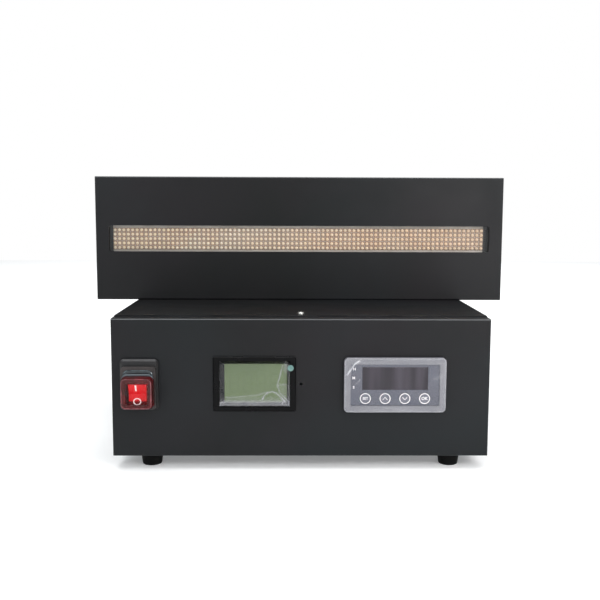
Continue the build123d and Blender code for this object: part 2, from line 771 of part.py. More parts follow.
def supply_parts(sign):
    """The circuit board with its transformer, capacitors, coils, heat sinks and terminal block."""
    x, y, z = supply_spans(sign)
    x0, y0 = x[0] + supply_wall + 1, y[0]
    board_z = z[0] + supply_wall + 4
    top = board_z + 1.6
    parts = [block((x0, x[1] - supply_wall - 1), (y0 + 0.5, y[1] - 2.5), (board_z, top))]
    parts.append(block((x0 + 38, x0 + 76), (y0 + 96, y0 + 136), (top, top + 34)))
    parts += [rod_z(x0 + 24 + 30 * i, y0 + 180, (top, top + 36), 12.5) for i in range(3)]
    parts += [rod_z(x0 + 20 + 16 * i, y0 + 42, (top, top + 25), 6.3) for i in range(5)]
    parts.append(block((x0 + 6, x0 + 10), (y0 + 70, y0 + 160), (top, top + 34)))
    parts.append(block((x0 + 99, x0 + 103), (y0 + 70, y0 + 160), (top, top + 34)))
    ring = rod_z(x0 + 56, y0 + 72, (top, top + 14), 14) - rod_z(x0 + 56, y0 + 72, (top - 1, top + 15), 6)
    parts.append(ring)
    terminal = block((x0 + 8, x0 + 98), (y0 + 1, y0 + 13), (top, top + 14))
    for i in range(9):
        bay_x = x0 + 8 + 10 * (i + 0.5)
        terminal -= block((bay_x - 4, bay_x + 4), (y0, y0 + 10), (top + 7, top + 15))
    parts.append(terminal)
    return parts


control_x, control_y = (-138, -60), (-152, -94)
control_z = base_top + 8


def control_board():
    """The board that switches the lamp, on four pillars."""
    board = block(control_x, control_y, (control_z, control_z + 1.6))
    pieces = []
    for x in (control_x[0] + 4, control_x[1] - 4):
        for y in (control_y[0] + 4, control_y[1] - 4):
            board -= rod_z(x, y, (control_z - 1, control_z + 3), 1.7)
            pieces.append(rod_z(x, y, (base_top, control_z), 2.8))
    return group([board] + pieces + control_parts())


def control_parts():
    """Relays, transformer, chip and terminal strip on the control board."""
    top = control_z + 1.6
    x0, y0 = control_x[0], control_y[0]
    parts = [
        block((x0 + 10 + 21 * i, x0 + 29 + 21 * i), (y0 + 38, y0 + 54), (top, top + 15))
        for i in range(2)
    ]
    parts.append(block((x0 + 54, x0 + 72), (y0 + 34, y0 + 54), (top, top + 14)))
    parts.append(block((x0 + 12, x0 + 22), (y0 + 18, y0 + 28), (top, top + 1.6)))
    parts += [rod_z(x0 + 34 + 12 * i, y0 + 23, (top, top + 12), 4) for i in range(3)]
    strip = block((x0 + 9, x0 + 69), (y0 + 1, y0 + 9), (top, top + 10))
    for i in range(12):
        strip -= rod_z(x0 + 11.5 + 5 * i, y0 + 5, (top + 6, top + 11), 1.6)
    parts.append(strip)
    return parts


def lead(radius, bend, *points):
    """A round lead along straight runs with a bend at each corner."""
    path = FilletPolyline(*points, radius=bend)
    start = Plane(origin=path @ 0, z_dir=path % 0)
    return sweep(start * Circle(radius), path=path)


def cabinet_wiring():
    """Leads from the inlet to the switch, from there to a supply, and from both supplies to the socket."""
    tab_y, tab_z = back - 35, inlet_hollow_z - 2.5
    contact_y = front + 33
    block_y = supply_front + 5
    block_z = supply_low + supply_wall + 4 + 1.6 + 7
    high = supply_low + supply_size[2] + 12
    leads = []
    for from_x, to_x in ((inlet_x - 7, switch_x - 4.5), (inlet_x + 7, switch_x + 4.5)):
        leads.append(lead(
            1.2, 8, (from_x, tab_y, tab_z), (from_x, tab_y - 16, tab_z), (from_x, tab_y - 50, high + 5),
            (to_x, contact_y + 40, high), (to_x, contact_y + 16, switch_z + 7),
            (to_x, contact_y, switch_z + 7),
        ))
    for from_x, to_x in ((switch_x - 4.5, -125.5), (switch_x + 4.5, -115.5)):
        leads.append(lead(
            1.2, 6, (from_x, contact_y, switch_z), (from_x, contact_y + 18, switch_z),
            (to_x, block_y, switch_z - 6), (to_x, block_y, block_z),
        ))
    for from_x, side_step in ((-65.5, -3), (51.5, 3)):
        leads.append(lead(
            1.8, 10, (from_x, block_y, block_z), (from_x, block_y, high + 10),
            (from_x, 30, high + 10), (output_x + side_step, 110, output_z),
            (output_x + side_step, back - 12, output_z),
        ))
    return group(leads)


# ---------------------------------------------------------------- lamp head

lamp_lip = 6.5                      # return lips at the back of the shell, for the rear cover's screws
window_thick = 2.0
window_y = lamp_front + lamp_sheet
led_face = lamp_front + 10          # front of the LED boards
board_thick = 2.0
module_width = module_columns * led_pitch
array_width = module_width * module_count
board_height = led_rows * led_pitch + 5.6
sink_front = led_face + board_thick
sink_base = 10
fin_back = lamp_back - lamp_sheet - fan_depth - 7
sink_half_width = lamp_inner_side - 0.2
sink_half_height = 47
sink_screw_y = sink_front + sink_base / 2
fin_span = (-174, 138)              # the fins stop short of the sockets and the temperature switch
rear_cover_y = (lamp_back - lamp_sheet, lamp_back)
lamp_fan_x = [-130 + 95 * i for i in range(3)]
lamp_socket_x, lamp_socket_z = 146, lamp_middle + 20
lamp_signal_x, lamp_signal_z = 146, lamp_middle - 22
lamp_hole_radius = 2.1              # tapped M5
lamp_hole_y = [lamp_front + 30, lamp_front + 90]
lamp_hole_z = [lamp_middle - 25, lamp_middle + 25]
end_screw_y = [lamp_front + 20, lamp_front + 100]
end_screw_x = lamp_side - end_plate_sheet / 2
end_screw = (1.25, 2.2)             # thread and head radius of the small countersunk screws
sink_screw = (2.0, 4.0)             # the same for the screws that hold the heat sink to the end plates
sink_screw_z = [lamp_middle - 38, lamp_middle + 38]


def lamp_shell():
    """Front, top and bottom in one folded sheet, with the light slot and with air slots above and below."""
    outer_z = (lamp_low, lamp_top)
    x = (-lamp_side, lamp_side)
    shell = block(x, (lamp_front, rear_cover_y[0]), outer_z)
    long_edges = shell.edges().filter_by(Axis.X).group_by(Axis.Y)[0]
    shell = fillet(long_edges, 1.4)
    inner_z = (lamp_low + lamp_sheet, lamp_top - lamp_sheet)
    shell -= block((-lamp_side - 1, lamp_side + 1), (window_y, rear_cover_y[0] + 1), inner_z)
    lips = lamp_inner_side - 0.5
    for z in (inner_z[0], inner_z[1] - lamp_lip):
        shell += block((-lips, lips), (rear_cover_y[0] - lamp_sheet, rear_cover_y[0]), (z, z + lamp_lip))
    slot = RectangleRounded(slot_width, slot_height, 2)
    shell -= facing(slot, 0, lamp_middle, (lamp_front - 1, window_y + 1))
    air = slot_row(36, 9, 4, 34)
    shell -= Pos(0, lamp_front + 52, lamp_low - 1) * extrude(air, amount=lamp_height + 2)
    for x in cover_lip_x():
        for z in lip_screw_z():
            shell -= rod_y(x, z, (rear_cover_y[0] - 3, rear_cover_y[0] + 1), m3_hole)
    for sx in (-1, 1):
        for y in end_screw_y:
            sink = countersink(end_screw[0], 12, end_screw[1])
            shell -= Pos(sx * end_screw_x, y, lamp_top) * HEAD_UP * sink
            shell -= Pos(sx * end_screw_x, y, lamp_low) * HEAD_DOWN * sink
    return shell


def cover_lip_x():
    return (-172, -82.5, 12.5, 106, 172)


def lip_screw_z():
    return (lamp_low + lamp_sheet + 3.2, lamp_top - lamp_sheet - 3.2)


def head_out(sign):
    """Turns a screw so that its head faces out of the lamp's left (-1) or right (+1) end."""
    return HEAD_RIGHT if sign > 0 else HEAD_LEFT


def lamp_end(sign):
    """A tapped end plate that closes one end and carries the machine's mounting screws."""
    x = sorted((sign * lamp_inner_side, sign * lamp_side))
    plate = block(x, (window_y + 0.1, rear_cover_y[0] - 0.1), (lamp_low + lamp_sheet, lamp_top - lamp_sheet))
    for y in lamp_hole_y:
        for z in lamp_hole_z:
            plate -= rod_x(y, z, (x[0] - 1, x[1] + 1), lamp_hole_radius)
    for y in end_screw_y:
        for z, head in ((lamp_top, HEAD_UP), (lamp_low, HEAD_DOWN)):
            plate -= Pos(sign * end_screw_x, y, z) * head * countersink(end_screw[0], 12, end_screw[1])
    for z in sink_screw_z:
        hole = countersink(sink_screw[0], 8, sink_screw[1])
        plate -= Pos(sign * lamp_side, sink_screw_y, z) * head_out(sign) * hole
    return plate


def lamp_rear_cover():
    cover = block((-lamp_side, lamp_side), rear_cover_y, (lamp_low, lamp_top))
    cut = (rear_cover_y[0] - 1, rear_cover_y[1] + 1)
    for x in lamp_fan_x:
        cover -= rod_y(x, lamp_middle, cut, 43.5)
        for dx, dz in fan_corners(lamp_fan_pitch):
            cover -= rod_y(x + dx, lamp_middle + dz, cut, m4_hole)
    cover -= rod_y(lamp_socket_x, lamp_socket_z, cut, output_radius + 0.2)
    cover -= rod_y(lamp_signal_x, lamp_signal_z, cut, signal_radius + 0.2)
    for x in cover_lip_x():
        for z in lip_screw_z():
            cover -= rod_y(x, z, cut, m3_hole)
    return cover


def lamp_screws():
    """Screws of the rear cover, the fans and the end plates."""
    small = pan_screw(m3, 6, 2.8, 1.9)
    screws = [Pos(x, lamp_back, z) * HEAD_BACK * small for x in cover_lip_x() for z in lip_screw_z()]
    for x in lamp_fan_x:
        screws += fan_screws(x, lamp_middle, lamp_back, lamp_fan_pitch)
    flush = flush_screw(end_screw[0], 10, end_screw[1])
    sink = flush_screw(sink_screw[0], 16, sink_screw[1])
    for sx in (-1, 1):
        for y in end_screw_y:
            screws.append(Pos(sx * end_screw_x, y, lamp_top) * HEAD_UP * flush)
            screws.append(Pos(sx * end_screw_x, y, lamp_low) * HEAD_DOWN * flush)
        for z in sink_screw_z:
            screws.append(Pos(sx * lamp_side, sink_screw_y, z) * head_out(sx) * sink)
    return group(screws)


def quartz_window():
    pane = Rectangle(slot_width + 7, slot_height + 7)
    return facing(pane, 0, lamp_middle, (window_y, window_y + window_thick))


def window_frame():
    """The frame that presses the window against the shell and walls off the light slot."""
    outer = Rectangle(slot_width + 11, slot_height + 22)
    frame = facing(outer - Rectangle(slot_width + 7.4, slot_height + 7.4), 0, lamp_middle,
                   (window_y, window_y + window_thick))
    frame += facing(outer - Rectangle(slot_width, board_height + 0.4), 0, lamp_middle,
                    (window_y + window_thick, sink_front))
    return frame


def led_boards():
    """Seven copper-core boards side by side."""
    first = array_shift - (module_count - 1) / 2 * module_width
    board = Rectangle(module_width - 0.2, board_height)
    return group([
        facing(board, first + i * module_width, lamp_middle, (led_face, led_face + board_thick))
        for i in range(module_count)
    ])


def led_packages():
    """Every LED is a square ceramic body with a domed lens."""
    body_side, body_thick, lens = 3.5, 0.9, 1.5
    led = facing(Rectangle(body_side, body_side), 0, 0, (-body_thick, 0))
    led += Pos(0, -body_thick, 0) * Rot(90, 0, 0) * Sphere(lens, arc_size1=0)
    columns = module_count * module_columns
    first_x = array_shift - (columns - 1) / 2 * led_pitch
    first_z = lamp_middle - (led_rows - 1) / 2 * led_pitch
    return group([
        Pos(first_x + i * led_pitch, led_face, first_z + j * led_pitch) * led
        for i in range(columns)
        for j in range(led_rows)
    ])


def heat_sink():
    """A thick base with upright fins, open above and below to the shell's air slots."""
    z = (lamp_middle - sink_half_height, lamp_middle + sink_half_height)
    sink = block((-sink_half_width, sink_half_width), (sink_front, sink_front + sink_base), z)
    pitch, thick = 6.0, 1.6
    count = int((fin_span[1] - fin_span[0]) // pitch) + 1
    fins = [
        block((fin_span[0] + i * pitch - thick / 2, fin_span[0] + i * pitch + thick / 2),
              (sink_front + sink_base - 0.5, fin_back), z)
        for i in range(count)
    ]
    sink += fins
    for sx in (-1, 1):
        for screw_z in sink_screw_z:
            hole_x = sorted((sx * (lamp_side - 17), sx * (lamp_side + 1)))
            sink -= rod_x(sink_screw_y, screw_z, hole_x, sink_screw[0] + 0.1)
    return sink


def thermal_switch():
    """A snap-action temperature switch on the bare end of the heat sink's base."""
    x = lamp_socket_x + 8
    y = sink_front + sink_base
    can = rod_y(x, lamp_middle, (y, y + 6), 7.5)
    tab_z = (lamp_middle - 2.4, lamp_middle + 2.4)
    tabs = [block((x + side - 0.4, x + side + 0.4), (y + 6, y + 13), tab_z) for side in (-4, 4)]
    return group([can] + tabs)


def lamp_sockets():
    return group([
        panel_socket(lamp_socket_x, lamp_socket_z, lamp_back, output_radius, 4),
        panel_socket(lamp_signal_x, lamp_signal_z, lamp_back, signal_radius, 4),
        socket_nut(lamp_socket_x, lamp_socket_z, rear_cover_y[0], output_radius),
        socket_nut(lamp_signal_x, lamp_signal_z, rear_cover_y[0], signal_radius),
    ])


# ---------------------------------------------------------------- build and write

keep("front_panel", front_panel())
keep("rear_panel", rear_panel())
keep("base_plate", base_plate())
keep("top_cover", top_cover())
keep("cover_screws", cover_screws())
for (place_x, place_y), place_name in zip(
    foot_places(), ("foot_front_left", "foot_back_left", "foot_front_right", "foot_back_right")
):
    keep(place_name, foot(place_x, place_y))
keep("foot_screws", foot_screws())

keep("switch_frame", switch_frame())
keep("switch_boot", switch_boot())
keep("switch_body", switch_body())
keep("switch_rocker", switch_rocker())
keep("switch_terminals", switch_terminals())

keep("meter_bezel", meter_bezel())
keep("meter_glass", meter_glass())
keep("meter_case", meter_case())
keep("meter_board", meter_board())
keep("meter_film", meter_film())

keep("controller_case", controller_case())
keep("controller_face", controller_face())
keep("controller_window", controller_window())
for key_index, key_name in enumerate(key_names):
    keep(key_name, controller_key(key_index))
keep("controller_board", controller_board())
keep("controller_clips", controller_clips())
keep("controller_film", controller_film())

keep("mains_inlet", mains_inlet())
keep("inlet_pins", inlet_pins())
keep("fuse_drawer", fuse_drawer())
keep("output_sockets", output_sockets())
keep("rear_screws", rear_screws())
keep("cabinet_fan_frame", fan_frame(fan_x, fan_z, rear_inside, cabinet_fan_size, cabinet_fan_pitch))
keep("cabinet_fan_rotor", fan_rotor(fan_x, fan_z, rear_inside, cabinet_fan_size))
keep("cabinet_fan_guard", fan_guard(fan_x, fan_z, back, cabinet_fan_size, cabinet_fan_pitch))

keep("power_supply_trays", group([supply_tray(-1), supply_tray(1)]))
keep("power_supply_covers", group([supply_cover(-1), supply_cover(1)]))
keep("power_supply_parts", group(supply_parts(-1) + supply_parts(1)))
keep("control_board", control_board())
keep("cabinet_wiring", cabinet_wiring())

keep("lamp_shell", lamp_shell())
keep("lamp_end_left", lamp_end(-1))
keep("lamp_end_right", lamp_end(1))
keep("lamp_rear_cover", lamp_rear_cover())
keep("lamp_screws", lamp_screws())
keep("quartz_window", quartz_window())
keep("window_frame", window_frame())
keep("led_boards", led_boards())
keep("led_packages", led_packages())
keep("heat_sink", heat_sink())
keep("thermal_switch", thermal_switch())
keep("lamp_sockets", lamp_sockets())
keep("lamp_fan_frames", group([
    fan_frame(x, lamp_middle, rear_cover_y[0], lamp_fan_size, lamp_fan_pitch) for x in lamp_fan_x
]))
keep("lamp_fan_guards", group([
    fan_guard(x, lamp_middle, lamp_back, lamp_fan_size, lamp_fan_pitch) for x in lamp_fan_x
]))
for rotor_index, rotor_x in enumerate(lamp_fan_x):
    keep(f"lamp_fan_rotor_{rotor_index + 1}", fan_rotor(rotor_x, lamp_middle, rear_cover_y[0], lamp_fan_size))

os.makedirs("parts", exist_ok=True)
for node_name, node_shape in nodes.items():
    export_step(node_shape, f"parts/{node_name}.step")
print(len(nodes), "nodes written")
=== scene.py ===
# %% [markdown]
# # A curing lamp resting on its control cabinet
# The lamp head is a long black housing with a slot full of small ultraviolet LEDs. It stands on the cabinet that feeds
# it, whose front carries a booted rocker switch, a panel meter and a four-key controller still under its shipping film.
# The hard sheet-metal and moulded shapes come ready from the engineering model. This notebook gives them their
# finishes, and models the small things that only show close up: LEDs, films, legends, marks and the soft boot.

# %% Load the engineering model as a fixed frame
import math

import bmesh
import bpy
from mathutils import Matrix, Vector


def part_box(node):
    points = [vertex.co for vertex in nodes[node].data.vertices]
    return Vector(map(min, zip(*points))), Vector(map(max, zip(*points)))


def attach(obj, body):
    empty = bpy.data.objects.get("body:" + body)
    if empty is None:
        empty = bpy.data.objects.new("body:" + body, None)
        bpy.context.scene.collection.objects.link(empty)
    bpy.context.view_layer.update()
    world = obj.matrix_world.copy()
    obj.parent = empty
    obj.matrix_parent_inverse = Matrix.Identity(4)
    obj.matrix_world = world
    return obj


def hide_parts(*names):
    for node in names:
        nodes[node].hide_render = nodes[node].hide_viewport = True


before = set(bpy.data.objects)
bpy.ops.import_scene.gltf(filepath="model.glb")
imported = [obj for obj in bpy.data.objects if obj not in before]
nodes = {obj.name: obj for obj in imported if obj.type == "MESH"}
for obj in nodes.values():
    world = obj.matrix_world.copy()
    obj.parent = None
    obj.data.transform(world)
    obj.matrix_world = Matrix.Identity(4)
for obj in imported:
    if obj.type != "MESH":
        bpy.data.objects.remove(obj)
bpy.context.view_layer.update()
mm = 0.001

# %% [markdown]
# ## Where things are
# A new piece is placed from the boxes of the engineering model's own pieces, so that it fits without measuring by eye.
# `spot` gives the middle of a node's box, and the front face of the cabinet is the plane that the instruments sit on.

# %% Places read from the model
def spot(node):
    low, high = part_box(node)
    return (low + high) / 2


panel_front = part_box("front_panel")[0].y
meter_middle = spot("meter_bezel")
controller_middle = spot("controller_face")
print("cabinet front at", round(panel_front / mm), "mm")

# %% [markdown]
# ## Camera and light
# The camera stands a little above the lamp's middle and looks slightly down at the cabinet's front, from about two
# thirds of a metre, with a mild long lens so that the box edges stay nearly parallel. A large soft lamp overhead gives
# the folded edges a thin light line, which a painted highlight on the fold crests makes brighter, and two small ones
# near the front lift the lamp head's ends out of black.

# %% Camera
camera_data = bpy.data.cameras.new("camera")
camera_data.sensor_width = 36
camera_data.lens = 51
camera = bpy.data.objects.new("camera", camera_data)
camera.location = (-9.9 * mm, -805.4 * mm, 208.1 * mm)
camera.rotation_euler = [math.radians(angle) for angle in (83.424, -0.216, -0.755)]
bpy.context.scene.collection.objects.link(camera)
bpy.context.scene.camera = camera
bpy.context.scene.view_settings.view_transform = "Standard"
print("camera at", [round(value, 3) for value in camera.location])


# %% Soft lamps, each aimed at a point on the object
def soft_lamp(name, place, target, size, power, colour=(1, 1, 1)):
    data = bpy.data.lights.new(name, "AREA")
    data.shape = "RECTANGLE"
    data.size, data.size_y = size
    data.energy = power
    data.color = colour
    lamp = bpy.data.objects.new(name, data)
    lamp.location = place
    lamp.rotation_euler = (Vector(target) - Vector(place)).to_track_quat("-Z", "Y").to_euler()
    lamp.visible_camera = False
    bpy.context.scene.collection.objects.link(lamp)
    return lamp


soft_lamp("overhead", (-0.2, -0.5, 1.9), (0, 0, 0.1), (1.8, 1.4), 23)
soft_lamp("front_fill", (-1.1, -1.9, 1.1), (0, -0.1, 0.15), (1.2, 1.2), 6, (0.93, 0.97, 1))
soft_lamp("right_side", (0.36, -0.62, 0.31), (0.18, -0.04, 0.2), (0.2, 0.2), 2.2, (1, 0.98, 0.98))
soft_lamp("left_side", (-0.34, -0.62, 0.31), (-0.18, -0.04, 0.2), (0.2, 0.2), 0.5, (0.86, 0.96, 1))
soft_lamp("behind", (0.4, 1.7, 1.5), (0, 0.1, 0.12), (1.6, 1.0), 22)

# %% [markdown]
# ## Surroundings
# The object stands on a plain pale floor that runs back a long way. The world gives an even light that is dimmer than
# what the camera sees behind the object, so black paint stays black while the background stays pale.

# %% Floor and world
floor_mesh = bmesh.new()
bmesh.ops.create_grid(floor_mesh, x_segments=1, y_segments=1, size=2.2)
floor_data = bpy.data.meshes.new("floor")
floor_mesh.to_mesh(floor_data)
floor_mesh.free()
floor = bpy.data.objects.new("floor", floor_data)
bpy.context.scene.collection.objects.link(floor)

floor_finish = bpy.data.materials.new("pale_floor")
floor_finish.use_nodes = True
floor_shader = floor_finish.node_tree.nodes["Principled BSDF"]
floor_shader.inputs["Base Color"].default_value = (0.93, 0.93, 0.93, 1)
floor_shader.inputs["Roughness"].default_value = 0.9
floor_shader.inputs["Specular IOR Level"].default_value = 0.1
floor_shader.inputs["Emission Color"].default_value = (1, 1, 1, 1)
floor_shader.inputs["Emission Strength"].default_value = 0.18
floor_data.materials.append(floor_finish)

world = bpy.data.worlds.new("studio")
bpy.context.scene.world = world
world.use_nodes = True
sky = world.node_tree
seen, lighting = sky.nodes["Background"], sky.nodes.new("ShaderNodeBackground")
seen.inputs["Color"].default_value = (1, 1, 1, 1)
lighting.inputs["Color"].default_value = (0.95, 0.98, 1.0, 1)
lighting.inputs["Strength"].default_value = 0.56
chooser, path = sky.nodes.new("ShaderNodeMixShader"), sky.nodes.new("ShaderNodeLightPath")
sky.links.new(path.outputs["Is Camera Ray"], chooser.inputs["Fac"])
sky.links.new(lighting.outputs[0], chooser.inputs[1])
sky.links.new(seen.outputs[0], chooser.inputs[2])
sky.links.new(chooser.outputs[0], sky.nodes["World Output"].inputs["Surface"])
print("floor", round(floor.dimensions.x), "m wide")

# %% [markdown]
# ## Effects that several finishes share
# Powder coat, moulded plastic and rubber all have a fine grain; handling leaves cloudy smudges and grey dust; corners
# rub bright, and on the switch boot the same edge mask paints highlights. Each effect is a node group with its own
# dials, so a material only says how much of each it has. All of them read Object coordinates, which are metres in the
# model's frame, so a scale of 1000 means about a millimetre.

# %% A helper that starts an effect group
def effect(name, dials, results):
    group = bpy.data.node_groups.new(name, "ShaderNodeTree")
    for label, value in dials:
        group.interface.new_socket(label, in_out="INPUT", socket_type="NodeSocketFloat").default_value = value
    for label in results:
        group.interface.new_socket(label, in_out="OUTPUT", socket_type="NodeSocketFloat")
    inside, outside = group.nodes.new("NodeGroupInput"), group.nodes.new("NodeGroupOutput")
    return group, inside, outside


def noise(tree, place, scale, detail=2.0, distortion=0.0):
    node = tree.nodes.new("ShaderNodeTexNoise")
    node.inputs["Detail"].default_value = detail
    node.inputs["Distortion"].default_value = distortion
    tree.links.new(place, node.inputs["Vector"])
    if isinstance(scale, float):
        node.inputs["Scale"].default_value = scale
    else:
        tree.links.new(scale, node.inputs["Scale"])
    return node.outputs["Fac"]


def ramp(tree, value, low, high):
    """Stretches the values between low and high to 0 and 1."""
    node = tree.nodes.new("ShaderNodeMapRange")
    tree.links.new(value, node.inputs["Value"])
    for socket, limit in (("From Min", low), ("From Max", high)):
        if isinstance(limit, float):
            node.inputs[socket].default_value = limit
        else:
            tree.links.new(limit, node.inputs[socket])
    return node.outputs["Result"]


def arithmetic(tree, operation, first, second):
    node = tree.nodes.new("ShaderNodeMath")
    node.operation = operation
    for socket, value in zip(node.inputs, (first, second)):
        if isinstance(value, (int, float)):
            socket.default_value = value
        else:
            tree.links.new(value, socket)
    return node.outputs[0]


def object_place(tree):
    return tree.nodes.new("ShaderNodeTexCoord").outputs["Object"]


def place_along(tree):
    """The place on the object along each axis; its outputs are X, Y and Z."""
    node = tree.nodes.new("ShaderNodeSeparateXYZ")
    tree.links.new(object_place(tree), node.inputs[0])
    return node.outputs


print("effect helpers ready")

# %% Fine grain: the orange peel of powder coat, or the spark texture of a mould
grain, grain_in, grain_out = effect("fine_grain", [("Scale", 1400.0)], ["Height"])
fine = noise(grain, object_place(grain), grain_in.outputs["Scale"], detail=3.0)
grain.links.new(fine, grain_out.inputs["Height"])
print(grain.name, len(grain.nodes), "nodes")

# %% Cloudy: large soft patches where a coat is a little thicker or has been wiped
cloudy, cloudy_in, cloudy_out = effect("cloudy", [("Scale", 12.0), ("Low", 0.35), ("High", 0.65)], ["Mask"])
patches = noise(cloudy, object_place(cloudy), cloudy_in.outputs["Scale"], detail=4.0, distortion=0.6)
patches = ramp(cloudy, patches, cloudy_in.outputs["Low"], cloudy_in.outputs["High"])
cloudy.links.new(patches, cloudy_out.inputs["Mask"])
print(cloudy.name, len(cloudy.nodes), "nodes")

# %% Dust: a few pale specks, where the cells of a Voronoi pattern are picked at random and kept small
dust, dust_in, dust_out = effect("dust", [("Scale", 90.0), ("Rarity", 0.9)], ["Mask"])
cells = dust.nodes.new("ShaderNodeTexVoronoi")
dust.links.new(object_place(dust), cells.inputs["Vector"])
dust.links.new(dust_in.outputs["Scale"], cells.inputs["Scale"])
chance = dust.nodes.new("ShaderNodeSeparateColor")
dust.links.new(cells.outputs["Color"], chance.inputs["Color"])
picked = arithmetic(dust, "GREATER_THAN", chance.outputs["Red"], dust_in.outputs["Rarity"])
near = arithmetic(dust, "MULTIPLY", chance.outputs["Green"], 0.06)
near = arithmetic(dust, "LESS_THAN", cells.outputs["Distance"], near)
dust.links.new(arithmetic(dust, "MULTIPLY", picked, near), dust_out.inputs["Mask"])
print(dust.name, len(dust.nodes), "nodes")

# %% Edge wear and highlight: where the surface turns within a short way, seen by comparing two normals.
# On metal and paint its tint is rubbed wear; on the boot's collar and lip it is a painted highlight
edge_wear_and_highlight, edges_in, edges_out = effect("worn_and_highlit_edges", [("Reach", 0.0006), ("Patchiness", 60.0)], ["Mask"])
rounded = edge_wear_and_highlight.nodes.new("ShaderNodeBevel")
rounded.samples = 4
edge_wear_and_highlight.links.new(edges_in.outputs["Reach"], rounded.inputs["Radius"])
flat = edge_wear_and_highlight.nodes.new("ShaderNodeNewGeometry").outputs["Normal"]
alike = edge_wear_and_highlight.nodes.new("ShaderNodeVectorMath")
alike.operation = "DOT_PRODUCT"
edge_wear_and_highlight.links.new(rounded.outputs["Normal"], alike.inputs[0])
edge_wear_and_highlight.links.new(flat, alike.inputs[1])
turned_away = ramp(edge_wear_and_highlight, alike.outputs["Value"], 0.995, 0.85)
broken = ramp(edge_wear_and_highlight, noise(edge_wear_and_highlight, object_place(edge_wear_and_highlight), edges_in.outputs["Patchiness"]), 0.4, 0.6)
edge_wear_and_highlight.links.new(arithmetic(edge_wear_and_highlight, "MULTIPLY", turned_away, broken), edges_out.inputs["Mask"])
print(edge_wear_and_highlight.name, len(edge_wear_and_highlight.nodes), "nodes")

# %% Fold crest highlight: where a folded sheet turns from its front to its top, so its normal points up and forward.
# A lighter tint through this mask is a painted highlight
crest_highlight, crest_in, crest_out = effect("fold_crest_highlight", [("Narrowness", 0.93)], ["Mask"])
towards = crest_highlight.nodes.new("ShaderNodeVectorMath")
towards.operation = "DOT_PRODUCT"
towards.inputs[1].default_value = (0, -0.70711, 0.70711)
crest_highlight.links.new(crest_highlight.nodes.new("ShaderNodeNewGeometry").outputs["True Normal"], towards.inputs[0])
crest_highlight.links.new(ramp(crest_highlight, towards.outputs["Value"], crest_in.outputs["Narrowness"], 0.98), crest_out.inputs["Mask"])
print(crest_highlight.name, len(crest_highlight.nodes), "nodes")

# %% Drawn lines: the long fine lines of rolled sheet, brushed metal or a scuffed film
line_dials = [("Along X", 20.0), ("Along Y", 900.0), ("Along Z", 900.0)]
lines, lines_in, lines_out = effect("drawn_lines", line_dials, ["Height"])
stretch = lines.nodes.new("ShaderNodeCombineXYZ")
for axis in "XYZ":
    lines.links.new(lines_in.outputs[f"Along {axis}"], stretch.inputs[axis])
stretched = lines.nodes.new("ShaderNodeVectorMath")
stretched.operation = "MULTIPLY"
lines.links.new(object_place(lines), stretched.inputs[0])
lines.links.new(stretch.outputs[0], stretched.inputs[1])
lines.links.new(noise(lines, stretched.outputs[0], 1.0, detail=2.0), lines_out.inputs["Height"])
print(lines.name, len(lines.nodes), "nodes")

# %% [markdown]
# ## Building a finish
# Colours are given as screen values from 0 to 255 and turned into the linear light that the shader works in.
# A `Finish` starts one material with a Principled shader. Its methods tint the colour where a mask says so, roughen the
# surface there, or raise the grain as a bump. The mask is an effect group, with its dials named after it, or a socket.

# %% The finish maker
def shade(red, green, blue):
    def linear(value):
        value /= 255
        return value / 12.92 if value <= 0.04045 else ((value + 0.055) / 1.055) ** 2.4

    return (linear(red), linear(green), linear(blue), 1)


